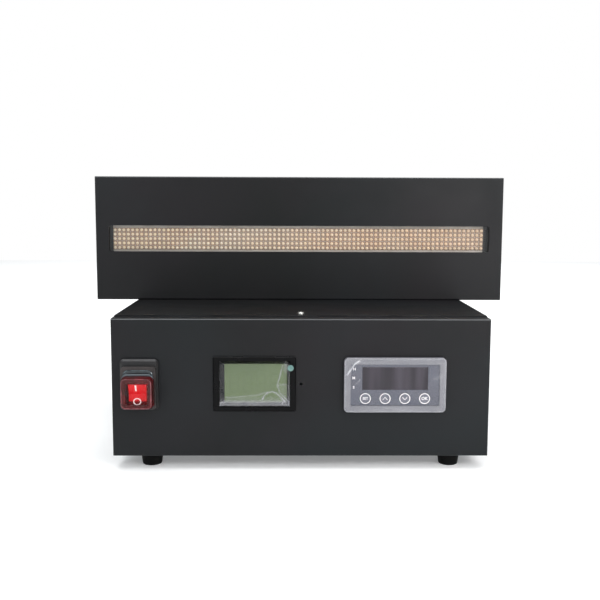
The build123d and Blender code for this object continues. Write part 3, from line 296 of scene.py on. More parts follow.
class Finish:
    def __init__(self, name, colour, roughness, metallic=0.0, specular=0.5):
        self.material = bpy.data.materials.new(name)
        self.material.use_nodes = True
        self.tree = self.material.node_tree
        self.shader = self.tree.nodes["Principled BSDF"]
        self.shader.inputs["Base Color"].default_value = shade(*colour)
        self.shader.inputs["Roughness"].default_value = roughness
        self.shader.inputs["Metallic"].default_value = metallic
        self.shader.inputs["Specular IOR Level"].default_value = specular

    def read(self, source, **dials):
        """Places an effect group with its dials and gives its result; a socket is passed on as it is."""
        if not isinstance(source, bpy.types.NodeTree):
            return source
        node = self.tree.nodes.new("ShaderNodeGroup")
        node.node_tree = source
        for label, value in dials.items():
            node.inputs[label.replace("_", " ")].default_value = value
        return node.outputs[0]

    def tint(self, mask, colour, amount=1.0, **dials):
        """Mixes another colour in where the mask is 1, over what is there already."""
        mask = self.read(mask, **dials)
        mix = self.tree.nodes.new("ShaderNodeMix")
        mix.data_type = "RGBA"
        base = self.shader.inputs["Base Color"]
        if base.is_linked:
            self.tree.links.new(base.links[0].from_socket, mix.inputs["A"])
        else:
            mix.inputs["A"].default_value = base.default_value
        mix.inputs["B"].default_value = shade(*colour)
        self.tree.links.new(arithmetic(self.tree, "MULTIPLY", mask, amount), mix.inputs["Factor"])
        self.tree.links.new(mix.outputs["Result"], base)

    def roughen(self, mask, low, high, **dials):
        """Roughness runs from low to high as the mask runs from 0 to 1."""
        mask = self.read(mask, **dials)
        node = self.tree.nodes.new("ShaderNodeMapRange")
        node.inputs["To Min"].default_value = low
        node.inputs["To Max"].default_value = high
        self.tree.links.new(mask, node.inputs["Value"])
        self.tree.links.new(node.outputs["Result"], self.shader.inputs["Roughness"])

    def raise_grain(self, height, depth, strength=1.0, **dials):
        """Bump of the given depth in metres."""
        height = self.read(height, **dials)
        bump = self.tree.nodes.new("ShaderNodeBump")
        bump.inputs["Strength"].default_value = strength
        bump.inputs["Distance"].default_value = depth
        self.tree.links.new(height, bump.inputs["Height"])
        if self.shader.inputs["Normal"].is_linked:
            self.tree.links.new(self.shader.inputs["Normal"].links[0].from_socket, bump.inputs["Normal"])
        self.tree.links.new(bump.outputs["Normal"], self.shader.inputs["Normal"])

    # Used only for painted glows, on parts whose lamps are off
    def painted_glow(self, colour, strength):
        self.shader.inputs["Emission Color"].default_value = shade(*colour)
        self.shader.inputs["Emission Strength"].default_value = strength

    def wear(self, *node_names):
        """Puts this finish on nodes of the engineering model."""
        for name in node_names:
            for holder in nodes[name].material_slots:
                holder.material = self.material


print("finish maker ready")

# %% [markdown]
# ## Black powder coat
# Folded sheet steel is sprayed with powder and baked, which leaves an even black skin with a fine orange peel. It is
# not quite even: it reflects a little more where it has been wiped and carries a few specks of dust, and a painted
# highlight lies along each fold's crest. The same coat is on the cabinet and on the lamp's shell.

# %% Powder coat on the cabinet and the lamp
powder_coat = Finish("black_powder_coat", (14, 16, 16), 0.5, specular=0.2)
powder_coat.tint(cloudy, (25, 22, 25), Scale=7.0, Low=0.3, High=0.72)
powder_coat.tint(cloudy, (21, 28, 30), 0.8, Scale=4.5, Low=0.42, High=0.75)
powder_coat.tint(edge_wear_and_highlight, (74, 74, 76), 0.5, Reach=0.0009, Patchiness=45.0)
powder_coat.tint(dust, (150, 148, 142), 0.75, Scale=55.0, Rarity=0.93)
# Painted highlight: a lighter grey along the crest of every fold, where the sheet turns up from its front
powder_coat.tint(crest_highlight, (112, 114, 116), 0.6)
powder_coat.roughen(cloudy, 0.42, 0.58, Scale=16.0, Low=0.25, High=0.75)
powder_coat.raise_grain(grain, 0.00004, 0.6, Scale=1500.0)
powder_coat.wear("front_panel", "rear_panel", "top_cover", "lamp_shell", "lamp_rear_cover")
print(powder_coat.material.name)

# %% [markdown]
# ## Bare and treated metals
# The base plate and the power supplies are zinc-plated or plain sheet with rolling lines; the heat sink is extruded
# aluminium; the lamp's ends and the frame round its window are black anodised, which is finer and greyer than paint.

# %% Metals
zinc = Finish("zinc_plate", (176, 178, 180), 0.38, metallic=1.0)
zinc.tint(cloudy, (150, 156, 166), 0.6, Scale=60.0, Low=0.4, High=0.6)
zinc.raise_grain(lines, 0.00002, 0.5)
zinc.wear("base_plate", "power_supply_covers")

aluminium = Finish("plain_aluminium", (196, 198, 200), 0.34, metallic=1.0)
aluminium.roughen(cloudy, 0.28, 0.46, Scale=40.0)
aluminium.raise_grain(lines, 0.00002, 0.6, Along_X=900.0, Along_Y=900.0, Along_Z=16.0)
aluminium.wear("power_supply_trays", "heat_sink", "thermal_switch")

anodised = Finish("black_anodised", (30, 30, 32), 0.36, metallic=0.7)
anodised.tint(edge_wear_and_highlight, (120, 120, 124), 0.5)
anodised.raise_grain(lines, 0.00002, 0.5, Along_X=900.0, Along_Y=16.0)
anodised.wear("lamp_end_left", "lamp_end_right")
print("zinc, aluminium and anodised finishes")

# %% [markdown]
# ## Fasteners, pins and sockets
# Screws are nickel plated, so they catch small bright highlights against the black coat. The lamp's own screws are
# blackened. Connector shells are satin nickel, and contact pins are brass under a thin tin wash.

# %% Small metal parts
nickel = Finish("nickel_plate", (214, 212, 206), 0.22, metallic=1.0)
nickel.roughen(cloudy, 0.14, 0.34, Scale=400.0)
nickel.wear("cover_screws", "foot_screws", "rear_screws")

blackened = Finish("blackened_steel", (38, 38, 40), 0.34, metallic=0.9)
blackened.tint(edge_wear_and_highlight, (150, 150, 150), 0.6, Reach=0.0003)
blackened.wear("lamp_screws")

satin_nickel = Finish("satin_nickel", (168, 168, 166), 0.32, metallic=1.0)
satin_nickel.tint(edge_wear_and_highlight, (225, 224, 218), 0.6, Reach=0.0003)
satin_nickel.raise_grain(grain, 0.00002, 0.5, Scale=2600.0)
satin_nickel.wear("output_sockets", "lamp_sockets")

brass = Finish("tinned_brass", (196, 176, 120), 0.3, metallic=1.0)
brass.tint(cloudy, (190, 188, 178), 0.6, Scale=300.0)
brass.wear("inlet_pins", "switch_terminals")

bright_wire = Finish("bright_wire", (205, 206, 210), 0.2, metallic=1.0)
bright_wire.roughen(cloudy, 0.12, 0.3, Scale=200.0)
bright_wire.wear("lamp_fan_guards", "cabinet_fan_guard")
print("fastener finishes")

# %% [markdown]
# ## Moulded plastics and rubber
# The meter bezel and the mains inlet are glossy black mouldings, the fan housings are a duller black nylon with a
# sparked grain, and the feet are rubber, greyed in patches with floor dust.

# %% Plastics and rubber
glossy_black = Finish("glossy_black_moulding", (5, 5, 6), 0.34, specular=0.1)
glossy_black.tint(dust, (130, 128, 124), 0.5, Scale=160.0, Rarity=0.95)
glossy_black.roughen(cloudy, 0.22, 0.42, Scale=60.0)
glossy_black.raise_grain(grain, 0.00001, 0.5, Scale=900.0)
glossy_black.wear("meter_bezel", "mains_inlet", "fuse_drawer", "meter_case", "controller_clips", "switch_body")

nylon = Finish("fan_nylon", (24, 24, 25), 0.5)
nylon.tint(dust, (112, 108, 100), 0.5, Scale=260.0, Rarity=0.8)
nylon.raise_grain(grain, 0.00004, 0.7, Scale=2200.0)
nylon.wear("lamp_fan_frames", "cabinet_fan_frame", "cabinet_fan_rotor", *(f"lamp_fan_rotor_{i}" for i in (1, 2, 3)))

rubber = Finish("foot_rubber", (6, 6, 6), 0.62, specular=0.1)
rubber.tint(cloudy, (34, 33, 31), 0.4, Scale=120.0, Low=0.5, High=0.7)
rubber.raise_grain(grain, 0.00003, 0.6, Scale=2400.0)
rubber.wear(*(name for name in nodes if name.startswith("foot_") and name != "foot_screws"))

board_green = Finish("circuit_board", (24, 84, 52), 0.4)
board_green.tint(cloudy, (46, 120, 74), 0.7, Scale=220.0, Low=0.5, High=0.53)
board_green.wear("meter_board", "controller_board", "control_board", "power_supply_parts")

insulation = Finish("wire_insulation", (150, 24, 24), 0.35)
insulation.tint(cloudy, (120, 16, 18), 0.8, Scale=90.0)
insulation.wear("cabinet_wiring")
print("plastic, rubber and board finishes")

# %% [markdown]
# ## Making new pieces
# New pieces are made in mesh code. `finish_piece` turns a bmesh into an object that rides on a body of the model.
# `rounded_face` makes the commonest start here, a face that looks to the front with its corners rounded, and `push`
# grows it forward. Every piece is modelled in place, so its object stays at the origin, unturned and unscaled.

# %% Helpers for pieces
def finish_piece(name, shape, finishes, body, slot, stands_for=(), smooth=False):
    bmesh.ops.remove_doubles(shape, verts=shape.verts, dist=0.000001)
    bmesh.ops.recalc_face_normals(shape, faces=shape.faces)
    mesh = bpy.data.meshes.new(name)
    shape.to_mesh(mesh)
    shape.free()
    for finish in finishes:
        mesh.materials.append(finish.material)
    for face in mesh.polygons:
        face.use_smooth = smooth
    piece = bpy.data.objects.new(name, mesh)
    bpy.context.scene.collection.objects.link(piece)
    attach(piece, body)
    if stands_for:
        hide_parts(*stands_for)
    print(name, len(mesh.polygons), "faces on", body)
    return piece


def block(shape, low, high, edge=0.0, segments=1):
    """Adds a box between two corners, in metres, with its edges bevelled."""
    low, high = Vector(low), Vector(high)
    made = bmesh.ops.create_cube(shape, size=1, matrix=Matrix.Translation((low + high) / 2)
                                 @ Matrix.Diagonal((*(high - low), 1)))
    if edge:
        edges = list({e for v in made["verts"] for e in v.link_edges})
        bmesh.ops.bevel(shape, geom=edges, offset=edge, offset_type="OFFSET", affect="EDGES", segments=segments,
                        profile=0.5, material=-1)


def rounded_face(shape, middle, width, height, radius, segments=8):
    """One face that looks along -Y, with rounded corners."""
    facing_front = Matrix.Translation(middle) @ Matrix.Rotation(math.radians(90), 4, "X")
    earlier = set(shape.faces)
    made = bmesh.ops.create_grid(shape, x_segments=1, y_segments=1, size=0.5,
                                 matrix=facing_front @ Matrix.Diagonal((width, height, 1, 1)))
    bmesh.ops.bevel(shape, geom=made["verts"], offset=radius, offset_type="OFFSET", affect="VERTICES",
                    segments=segments, profile=0.5, material=-1)
    return next(face for face in shape.faces if face not in earlier)


def push(shape, face, inward, forward):
    """Insets a face by one amount and moves it forward by another: one step of a moulded shape."""
    face.normal_update()
    bmesh.ops.inset_individual(shape, faces=[face], thickness=inward, depth=0, use_even_offset=True)
    bmesh.ops.translate(shape, verts=face.verts, vec=(0, -forward, 0))
    return face


print("piece helpers ready")

# %% [markdown]
# ## The LED array
# Behind the window sit seven circuit boards side by side, each with twelve columns of five LEDs. An LED of this kind is
# a square ceramic body under a clear silicone dome. One LED is modelled with few faces and repeated, because 420 of
# them share the frame. Batches of LEDs differ a little in tint, so the tint follows the board they are on.

# %% Finishes of the LED boards
array_left, array_ramp_start, array_ramp_end = -0.1688, -0.12, 0.17
batch, batch_in, batch_out = effect("board_batch", [("Board Width", 0.048)], ["Mask"])
board_number = arithmetic(batch, "SUBTRACT", place_along(batch)["X"], array_left)
board_number = arithmetic(batch, "DIVIDE", board_number, batch_in.outputs["Board Width"])
board_number = arithmetic(batch, "FLOOR", board_number, 0)
lottery = batch.nodes.new("ShaderNodeTexWhiteNoise")
lottery.noise_dimensions = "1D"
batch.links.new(board_number, lottery.inputs["W"])
batch.links.new(lottery.outputs["Value"], batch_out.inputs["Mask"])


def towards_right(finish):
    """Runs from 0 near the array's left end to 1 at its right end."""
    return ramp(finish.tree, place_along(finish.tree)["X"], array_ramp_start, array_ramp_end)


board_white = Finish("white_solder_mask", (206, 198, 188), 0.5)
board_white.tint(cloudy, (190, 180, 168), Scale=60.0)
board_white.wear("led_boards")

ceramic = Finish("led_ceramic", (190, 158, 128), 0.45)
ceramic.tint(cloudy, (186, 136, 96), 0.8, Scale=14.0, Low=0.42, High=0.6)
ceramic.tint(batch, (186, 164, 144), 0.4)
ceramic.tint(towards_right(ceramic), (160, 112, 76), 0.55)
ceramic.raise_grain(grain, 0.00002, 0.4, Scale=3000.0)

silicone = Finish("led_lens", (255, 250, 238), 0.14)
# Painted glow: a faint emission brightens the lenses, standing in for their highlights, since the LEDs are off
silicone.painted_glow((255, 240, 214), 0.12)
silicone.tint(cloudy, (254, 236, 206), 0.7, Scale=14.0, Low=0.42, High=0.6)
silicone.tint(cloudy, (240, 214, 180), 0.6, Scale=420.0, Low=0.3, High=0.7)
silicone.tint(towards_right(silicone), (226, 186, 140), 0.5)
silicone.shader.inputs["Subsurface Weight"].default_value = 0.15
silicone.shader.inputs["Subsurface Radius"].default_value = (0.001, 0.0008, 0.0005)
print("LED finishes")

# %% One LED body and one lens
led_low, led_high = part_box("led_packages")
columns, rows, led_pitch = 84, 5, 4 * mm
led_size, led_depth, dome_radius, array_drop = 3.5 * mm, 0.9 * mm, 1.45 * mm, 0.6 * mm
led_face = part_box("led_boards")[0].y
led_centre = (led_low + led_high) / 2

one_body = bmesh.new()
block(one_body, (-led_size / 2, -led_depth, -led_size / 2), (led_size / 2, 0, led_size / 2), edge=0.3 * mm)
one_lens = bmesh.new()
bmesh.ops.create_uvsphere(one_lens, u_segments=12, v_segments=8, radius=dome_radius,
                          matrix=Matrix.Rotation(math.radians(90), 4, "X"))
bmesh.ops.bisect_plane(one_lens, geom=one_lens.verts[:] + one_lens.edges[:] + one_lens.faces[:],
                       plane_co=(0, 0, 0), plane_no=(0, 1, 0), clear_outer=True)
bmesh.ops.contextual_create(one_lens, geom=[edge for edge in one_lens.edges if edge.is_boundary])
bmesh.ops.translate(one_lens, verts=one_lens.verts, vec=(0, -led_depth, 0))
print(len(one_body.faces), "faces a body,", len(one_lens.faces), "faces a lens")


# %% Repeat them over the boards
def repeat(one, name, finish, **details):
    pattern = bpy.data.meshes.new(name + "_pattern")
    one.to_mesh(pattern)
    one.free()
    field = bmesh.new()
    for column in range(columns):
        for row in range(rows):
            start = len(field.verts)
            field.from_mesh(pattern)
            field.verts.ensure_lookup_table()
            place = Vector((led_centre.x + (column - (columns - 1) / 2) * led_pitch, led_face,
                            led_centre.z + (row - (rows - 1) / 2) * led_pitch - array_drop))
            bmesh.ops.translate(field, verts=field.verts[start:], vec=place)
    bpy.data.meshes.remove(pattern)
    return finish_piece(name, field, [finish], "lamp_head", "led_white", **details)


repeat(one_body, "led_bodies", ceramic, stands_for=["led_packages"])
repeat(one_lens, "led_lenses", silicone, smooth=True)

# %% [markdown]
# ## Quartz window
# Ultraviolet light needs a quartz window, which is clear and polished. It is almost invisible face on and mirrors more
# towards grazing angles. A thin see-through surface with a bright reflection does this without tracing through glass:
# the reflection colour is white, and how much of it covers what is behind follows the Fresnel term.

# %% Window and its frame
quartz = Finish("polished_quartz", (255, 255, 255), 0.03, metallic=1.0)
fresnel = quartz.tree.nodes.new("ShaderNodeFresnel")
fresnel.inputs["IOR"].default_value = 1.46
quartz.tree.links.new(fresnel.outputs[0], quartz.shader.inputs["Alpha"])
quartz.wear("quartz_window")

window_black = Finish("window_frame_black", (14, 14, 15), 0.45)
window_black.raise_grain(grain, 0.00002, 0.4)
window_black.tint(edge_wear_and_highlight, (70, 70, 72), 0.5, Reach=0.0003)
window_black.wear("window_frame")
print("window finishes")

# %% A thin black mask between the window and the boards, which hides the boards' borders
pane_low, pane_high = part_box("quartz_window")
board_low, board_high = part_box("led_boards")
mask_height, mask_middle_z, mask_thickness, mask_stand = 27.6 * mm, 175.4 * mm, 0.5 * mm, 1.3 * mm
hole_bottom, hole_top, hole_inset = 163.2 * mm, 186.9 * mm, 0.3 * mm
mask_middle = Vector(((pane_low.x + pane_high.x) / 2, board_low.y - mask_stand, mask_middle_z))
hole_middle = Vector(((board_low.x + board_high.x) / 2, mask_middle.y, (hole_bottom + hole_top) / 2))

led_mask = bmesh.new()
outer = rounded_face(led_mask, mask_middle, pane_high.x - pane_low.x - 1 * mm, mask_height, 1 * mm, segments=2)
outer_edges = list(outer.edges)
hole = rounded_face(led_mask, hole_middle, board_high.x - board_low.x - 2 * hole_inset, hole_top - hole_bottom,
                    0.4 * mm, segments=2)
hole_edges = list(hole.edges)
bmesh.ops.delete(led_mask, geom=[outer, hole], context="FACES_ONLY")
bmesh.ops.bridge_loops(led_mask, edges=outer_edges + hole_edges)
bmesh.ops.recalc_face_normals(led_mask, faces=led_mask.faces)
bmesh.ops.solidify(led_mask, geom=led_mask.faces[:], thickness=mask_thickness)
finish_piece("led_baffle", led_mask, [window_black], "lamp_head", "black_anodised")

# %% [markdown]
# ## The booted power switch
# A rocker switch for a workshop wears a clear soft boot against dust and splashes. The boot here is a dark wine-red
# see-through cap with a rolled rim on a stepped black collar, and the red rocker shows through it. The switch is off:
# the rocker's glow and its dark ends are painted light and shade, and the rim's pale pink, the lip's lighter grey and
# the collar's pale edges are painted highlights. The collar and cap are each grown from one rounded face by insets and
# pushes, which is how such a moulding steps inwards.

# %% Switch finishes
switch_black = Finish("switch_black", (13, 13, 14), 0.36, specular=0.25)
step_back, step_front = -0.1666, -0.1669
front_step = ramp(switch_black.tree, place_along(switch_black.tree)["Y"], step_back, step_front)
switch_black.tint(front_step, (58, 49, 47), 0.8)
# Painted highlight: the frame's top slope, which faces up and forward, is tinted lighter
switch_black.tint(crest_highlight, (64, 64, 66), 0.8, Narrowness=0.6)
switch_black.tint(edge_wear_and_highlight, (96, 92, 90), 0.6, Reach=0.0008)
switch_black.tint(cloudy, (36, 33, 33), 0.6, Scale=140.0, Low=0.45, High=0.7)
switch_black.raise_grain(grain, 0.00003, 0.5, Scale=1800.0)
switch_black.wear("switch_frame", "switch_body")

rocker_red = Finish("rocker_red", (206, 8, 14), 0.3)
# The rocker's lamp is off. Its top and bottom ends are painted a dark maroon as shade inside the boot
lit_bottom, dark_below, lit_top, dark_above = 0.0573, 0.0563, 0.0702, 0.0708
tree, height = rocker_red.tree, place_along(rocker_red.tree)["Z"]
unlit = arithmetic(tree, "MAXIMUM", ramp(tree, height, lit_bottom, dark_below), ramp(tree, height, lit_top, dark_above))
rocker_red.tint(unlit, (78, 14, 18))
rocker_red.tint(cloudy, (196, 10, 20), 0.5, Scale=500.0)
# Painted glow: an emission, bright red in the middle and nearly black at the shaded ends, stands in for light on the
# rocker
painted_glow = tree.nodes.new("ShaderNodeMix")
painted_glow.data_type = "RGBA"
painted_glow.inputs["A"].default_value = shade(235, 14, 24)
painted_glow.inputs["B"].default_value = shade(30, 4, 6)
tree.links.new(unlit, painted_glow.inputs["Factor"])
tree.links.new(painted_glow.outputs["Result"], rocker_red.shader.inputs["Emission Color"])
rocker_red.shader.inputs["Emission Strength"].default_value = 0.5
rocker_red.wear("switch_rocker")

boot_skin = Finish("boot_skin", (84, 10, 16), 0.14, specular=0.3)
clear_middle_x, clear_middle_z, clear_reach, border_start = -0.1244, 0.0634, 0.0072, 0.0092
tree, place = boot_skin.tree, place_along(boot_skin.tree)
across = arithmetic(tree, "ABSOLUTE", arithmetic(tree, "SUBTRACT", place["X"], clear_middle_x), 0)
rise = arithmetic(tree, "ABSOLUTE", arithmetic(tree, "SUBTRACT", place["Z"], clear_middle_z), 0)
border = ramp(tree, arithmetic(tree, "MAXIMUM", across, rise), clear_reach, border_start)
cover = tree.nodes.new("ShaderNodeMapRange")
cover.inputs["To Min"].default_value = 0.12
cover.inputs["To Max"].default_value = 0.86
tree.links.new(border, cover.inputs["Value"])
tree.links.new(cover.outputs["Result"], boot_skin.shader.inputs["Alpha"])
boot_skin.tint(cloudy, (46, 24, 20), 0.9, Scale=110.0)
boot_skin.raise_grain(cloudy, 0.00012, 0.5, Scale=260.0, Low=0.2, High=0.8)

collar_black = Finish("boot_collar", (20, 30, 36), 0.22)
# Painted highlight: the collar's edges are tinted pale blue-grey
collar_black.tint(edge_wear_and_highlight, (96, 112, 118), 0.8, Reach=0.0006, Patchiness=250.0)
collar_black.raise_grain(cloudy, 0.00008, 0.4, Scale=300.0)

# Painted light: the lip belongs to the same dark boot as the collar, painted a lighter grey where its top faces the
# light, with painted highlights on its edges
lip_lit_grey = Finish("boot_lip_lit_grey", (62, 70, 76), 0.28)
lip_lit_grey.tint(edge_wear_and_highlight, (96, 108, 116), 0.7, Reach=0.0007, Patchiness=200.0)
lip_lit_grey.raise_grain(cloudy, 0.00008, 0.4, Scale=300.0)

# Painted highlight: the rolled rim of the cap is painted pale pink as the light line along its front edge
rim_highlight = Finish("boot_rim_painted_highlight", (92, 34, 40), 0.14)
rim_highlight.shader.inputs["Alpha"].default_value = 0.85
rim_highlight.tint(cloudy, (150, 92, 98), 0.8, Scale=160.0, Low=0.4, High=0.7)
print("switch finishes")

# %% Neck, lip, rim and cap of the boot
boot_middle = Vector((-124.7 * mm, 0, 64.0 * mm))
switch_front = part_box("switch_frame")[0].y


def sleeve(shape, rise, width, height, corner, stand, steps):
    """A closed ring that starts some way off the switch frame's front and grows forward by insets and pushes."""
    middle = Vector((boot_middle.x, switch_front - stand, boot_middle.z + rise))
    face = rounded_face(shape, middle, width, height, corner, segments=10)
    first = set(face.edges)
    for inward, forward in steps:
        face = push(shape, face, inward * mm, forward * mm)
    back = face.verts[0].co.y - middle.y
    face = push(shape, face, 0.0, back)
    inner = set(face.edges)
    bmesh.ops.delete(shape, geom=[face], context="FACES_ONLY")
    bmesh.ops.bridge_loops(shape, edges=list(first | inner))
    return shape


neck = sleeve(bmesh.new(), 1.7 * mm, 22.8 * mm, 29.4 * mm, 4.2 * mm, 0.0,
              ((0, 0.5), (0.4, 0.25), (0, 0.2), (1.6, 0)))
finish_piece("boot_neck", neck, [collar_black], "cabinet", "boot_plastic", stands_for=["switch_boot"])
lip = sleeve(bmesh.new(), 0.9 * mm, 24.6 * mm, 25.8 * mm, 4.6 * mm, 0.9 * mm,
             ((0, 0.9), (0.14, 0.34), (0.34, 0.3), (0.5, 0.14), (0.8, 0)))
finish_piece("boot_lip", lip, [lip_lit_grey], "cabinet", "boot_plastic", smooth=True)

cap = bmesh.new()
cap_back = switch_front - 1.3 * mm
face = rounded_face(cap, boot_middle + Vector((0, cap_back, -0.3 * mm)), 25.4 * mm, 25.6 * mm, 4.4 * mm, segments=10)
for inward, forward in ((0.35, 2.6), (0.35, 2.4), (0.2, 1.2), (0.25, 0.7), (0.35, 0.35), (0.45, 0.1), (0.5, -0.1)):
    face = push(cap, face, inward * mm, forward * mm)
bmesh.ops.recalc_face_normals(cap, faces=cap.faces)
bmesh.ops.solidify(cap, geom=cap.faces[:], thickness=0.5 * mm)
finish_piece("boot_cap", cap, [boot_skin], "cabinet", "boot_plastic", smooth=True)

rim = sleeve(bmesh.new(), -0.3 * mm, 23.2 * mm, 23.4 * mm, 3.7 * mm, 8.35 * mm,
             ((0, 0.3), (0.1, 0.22), (0.22, 0.12), (0.3, -0.06), (0.2, -0.3)))
finish_piece("boot_rim", rim, [rim_highlight], "cabinet", "boot_plastic", smooth=True)

# %% [markdown]
# ## Legends and marks
# The marks on the switch and the keys are pad printed: a thin flat layer of ink on the surface. A word is a text object
# made into a mesh, a ring is two circles bridged, and an arrow or bar is a thin block, each with a little thickness.
# Every mark is made lying in a plane and then moved by a matrix onto the face that carries it.

# %% Mark helpers
ink_white = Finish("ink_white", (236, 232, 232), 0.5)
ink_white.tint(cloudy, (200, 196, 200), 0.7, Scale=900.0, Low=0.4, High=0.7)
# Painted glow: the marks on the rocker are given an emission, as if lit from behind, though the switch's lamp is off
ink_painted_glow = Finish("ink_with_painted_glow", (250, 240, 240), 0.5)
ink_painted_glow.painted_glow((255, 225, 225), 0.45)
ink_depth = 0.08 * mm


def ring(shape, radius, line, stretch=1.0):
    """A flat ring about the origin that looks along -Y."""
    upright = Matrix.Rotation(math.radians(90), 4, "X") @ Matrix.Diagonal((stretch, 1, 1, 1))
    start = len(shape.verts)
    for reach in (radius, radius - line):
        bmesh.ops.create_circle(shape, segments=40, radius=reach, matrix=upright)
    shape.verts.ensure_lookup_table()
    made = {edge for vert in shape.verts[start:] for edge in vert.link_edges}
    bmesh.ops.bridge_loops(shape, edges=list(made))
    return shape


def stroke(shape, start, end, width):
    """A bar from one (x, z) point to another in the plane that looks along -Y."""
    start, end = Vector((start[0], 0, start[1])), Vector((end[0], 0, end[1]))
    turn = Matrix.Rotation(math.atan2(end.x - start.x, end.z - start.z), 4, "Y")
    bmesh.ops.create_grid(shape, x_segments=1, y_segments=1, size=0.5,
                          matrix=Matrix.Translation((start + end) / 2) @ turn
                          @ Matrix.Rotation(math.radians(90), 4, "X")
                          @ Matrix.Diagonal((width, (end - start).length, 1, 1)))
    return shape


def word(shape, text, height):
    """Adds a word, centred on the origin and looking along -Y."""
    curve = bpy.data.curves.new("word", "FONT")
    curve.body, curve.size, curve.align_x, curve.align_y = text, height, "CENTER", "CENTER"
    curve.resolution_u = 3
    curve.offset = height * 0.025
    writing = bpy.data.objects.new("word", curve)
    mesh = bpy.data.meshes.new_from_object(writing)
    mesh.transform(Matrix.Rotation(math.radians(90), 4, "X"))
    shape.from_mesh(mesh)
    bpy.data.objects.remove(writing)
    bpy.data.curves.remove(curve)
    bpy.data.meshes.remove(mesh)
    return shape


def turn_to_front(shape):
    for face in shape.faces:
        if face.normal.y > 0:
            face.normal_flip()


def printed(name, shape, place, body, slot, finish=ink_white):
    """Gives a flat mark its thickness and moves it onto its face."""
    turn_to_front(shape)
    grown = bmesh.ops.extrude_face_region(shape, geom=shape.faces[:])
    bmesh.ops.translate(shape, verts=[g for g in grown["geom"] if isinstance(g, bmesh.types.BMVert)],
                        vec=(0, ink_depth, 0))
    bmesh.ops.translate(shape, verts=shape.verts, vec=(0, -ink_depth, 0))
    bmesh.ops.transform(shape, matrix=place, verts=shape.verts)
    return finish_piece(name, shape, [finish], body, slot)


print("mark helpers ready")

# %% On and off marks, on the rocker's two faces
rocker_pivot = Vector((spot("switch_rocker").x, -165 * mm, 63 * mm))
valley_depth, half_length, end_depth, rest_turn = 3.8 * mm, 9.6 * mm, 6.2 * mm, math.radians(10)
half_slope = math.atan2(end_depth - valley_depth, half_length)


def on_rocker(along, across):
    """The plane of the rocker's upper or lower half, at a distance along it from the valley."""
    slope = half_slope if along > 0 else -half_slope
    return (Matrix.Translation(rocker_pivot) @ Matrix.Rotation(rest_turn, 4, "X")
            @ Matrix.Translation((across, -valley_depth, 0)) @ Matrix.Rotation(slope, 4, "X")
            @ Matrix.Translation((0, 0, along)))


printed("rocker_on_mark", stroke(bmesh.new(), (0, -2.7 * mm), (0, 2.7 * mm), 1.3 * mm),
        on_rocker(5.4 * mm, -1.2 * mm), "rocker", "red_plastic", ink_painted_glow)
printed("rocker_off_mark", ring(bmesh.new(), 2.75 * mm, 0.75 * mm, stretch=1.12),
        on_rocker(-5.9 * mm, -0.5 * mm), "rocker", "red_plastic", ink_painted_glow)
print("marks on the rocker, which rests at", round(math.degrees(rest_turn)), "degrees")

# %% [markdown]
# ## Films over the instruments
# New instruments come with a thin protective film. It is nearly clear where it lies flat, and turns milky where it is
# creased, lifted or folded over an edge; the creases are whiter partly as a painted highlight, and on the meter the
# pale band at the bottom and the strip at the right are a painted reflection of the bezel's slopes. Each film is a fine
# grid whose points are moved: they lie on what is below, rise at the folds, and carry a value of haze and painted
# sheen that the material uses to decide how much of the film shows.

# %% Film finish and the distance to a crease
film_skin = Finish("clinging_film", (208, 208, 211), 0.24)
# The film shows as much as its haze, which also carries painted highlights on creases and painted reflections on the
# meter bezel's slopes
haze_and_sheen = film_skin.tree.nodes.new("ShaderNodeAttribute")
haze_and_sheen.attribute_name = "haze_and_sheen"
film_skin.tree.links.new(haze_and_sheen.outputs["Fac"], film_skin.shader.inputs["Alpha"])
film_skin.tint(cloudy, (186, 186, 194), 0.8, Scale=230.0)
film_skin.raise_grain(cloudy, 0.0002, 0.35, Scale=330.0, Low=0.2, High=0.8)


def off_crease(point, crease):
    """How far a point is from a crease, which is a run of straight folds."""
    nearest = 1000.0
    for start, end in zip(crease, crease[1:]):
        start, end = Vector(start), Vector(end)
        share = max(0.0, min(1.0, (point - start).dot(end - start) / (end - start).length_squared))
        nearest = min(nearest, (point - start.lerp(end, share)).length)
    return nearest


def bell(distance, width):
    return math.exp(-(distance / width) ** 2)


def step_up(value, low, high):
    share = max(0.0, min(1.0, (value - low) / (high - low)))
    return share * share * (3 - 2 * share)


def film(name, node, middle, size, corner, cell, lie):
    """Grows a film; lie gives the Y place and the cloudiness, with painted sheen, of a point from its x and z off the
    middle, in mm.
    """
    shape = bmesh.new()
    across, up = (round(length / cell) for length in size)
    bmesh.ops.create_grid(shape, x_segments=across, y_segments=up, size=0.5,
                          matrix=Matrix.Rotation(math.radians(90), 4, "X") @ Matrix.Diagonal((*size, 1, 1)))
    layer = shape.verts.layers.float.new("haze_and_sheen")
    for vert in shape.verts:
        x, z = vert.co.x, vert.co.z
        past = Vector((max(abs(x) - size[0] / 2 + corner, 0), max(abs(z) - size[1] / 2 + corner, 0)))
        if past.length > corner:
            x = math.copysign(size[0] / 2 - corner + past.x * corner / past.length, x)
            z = math.copysign(size[1] / 2 - corner + past.y * corner / past.length, z)
        place, milky_and_sheen = lie(x / mm, z / mm)
        vert.co = (middle.x + x, place, middle.z + z)
        vert[layer] = milky_and_sheen
    bmesh.ops.dissolve_degenerate(shape, dist=0.00002, edges=shape.edges)
    return finish_piece(name, shape, [film_skin], "cabinet", "film", stands_for=[node], smooth=True)


print("film helpers ready")

# %% [markdown]
# ## The panel meter
# The meter is an unlit liquid-crystal display behind a clear pane, in a black snap-in bezel with sloping inner sides.
# An unlit display is a flat grey-green with the faintest trace of its segments. Its film has come loose along the
# bottom and at the right, where it has folded into several creases, and its round pull tab stands at the top right.
# The paler band and strip where it lies on the bezel's bottom and right slopes are a painted reflection.

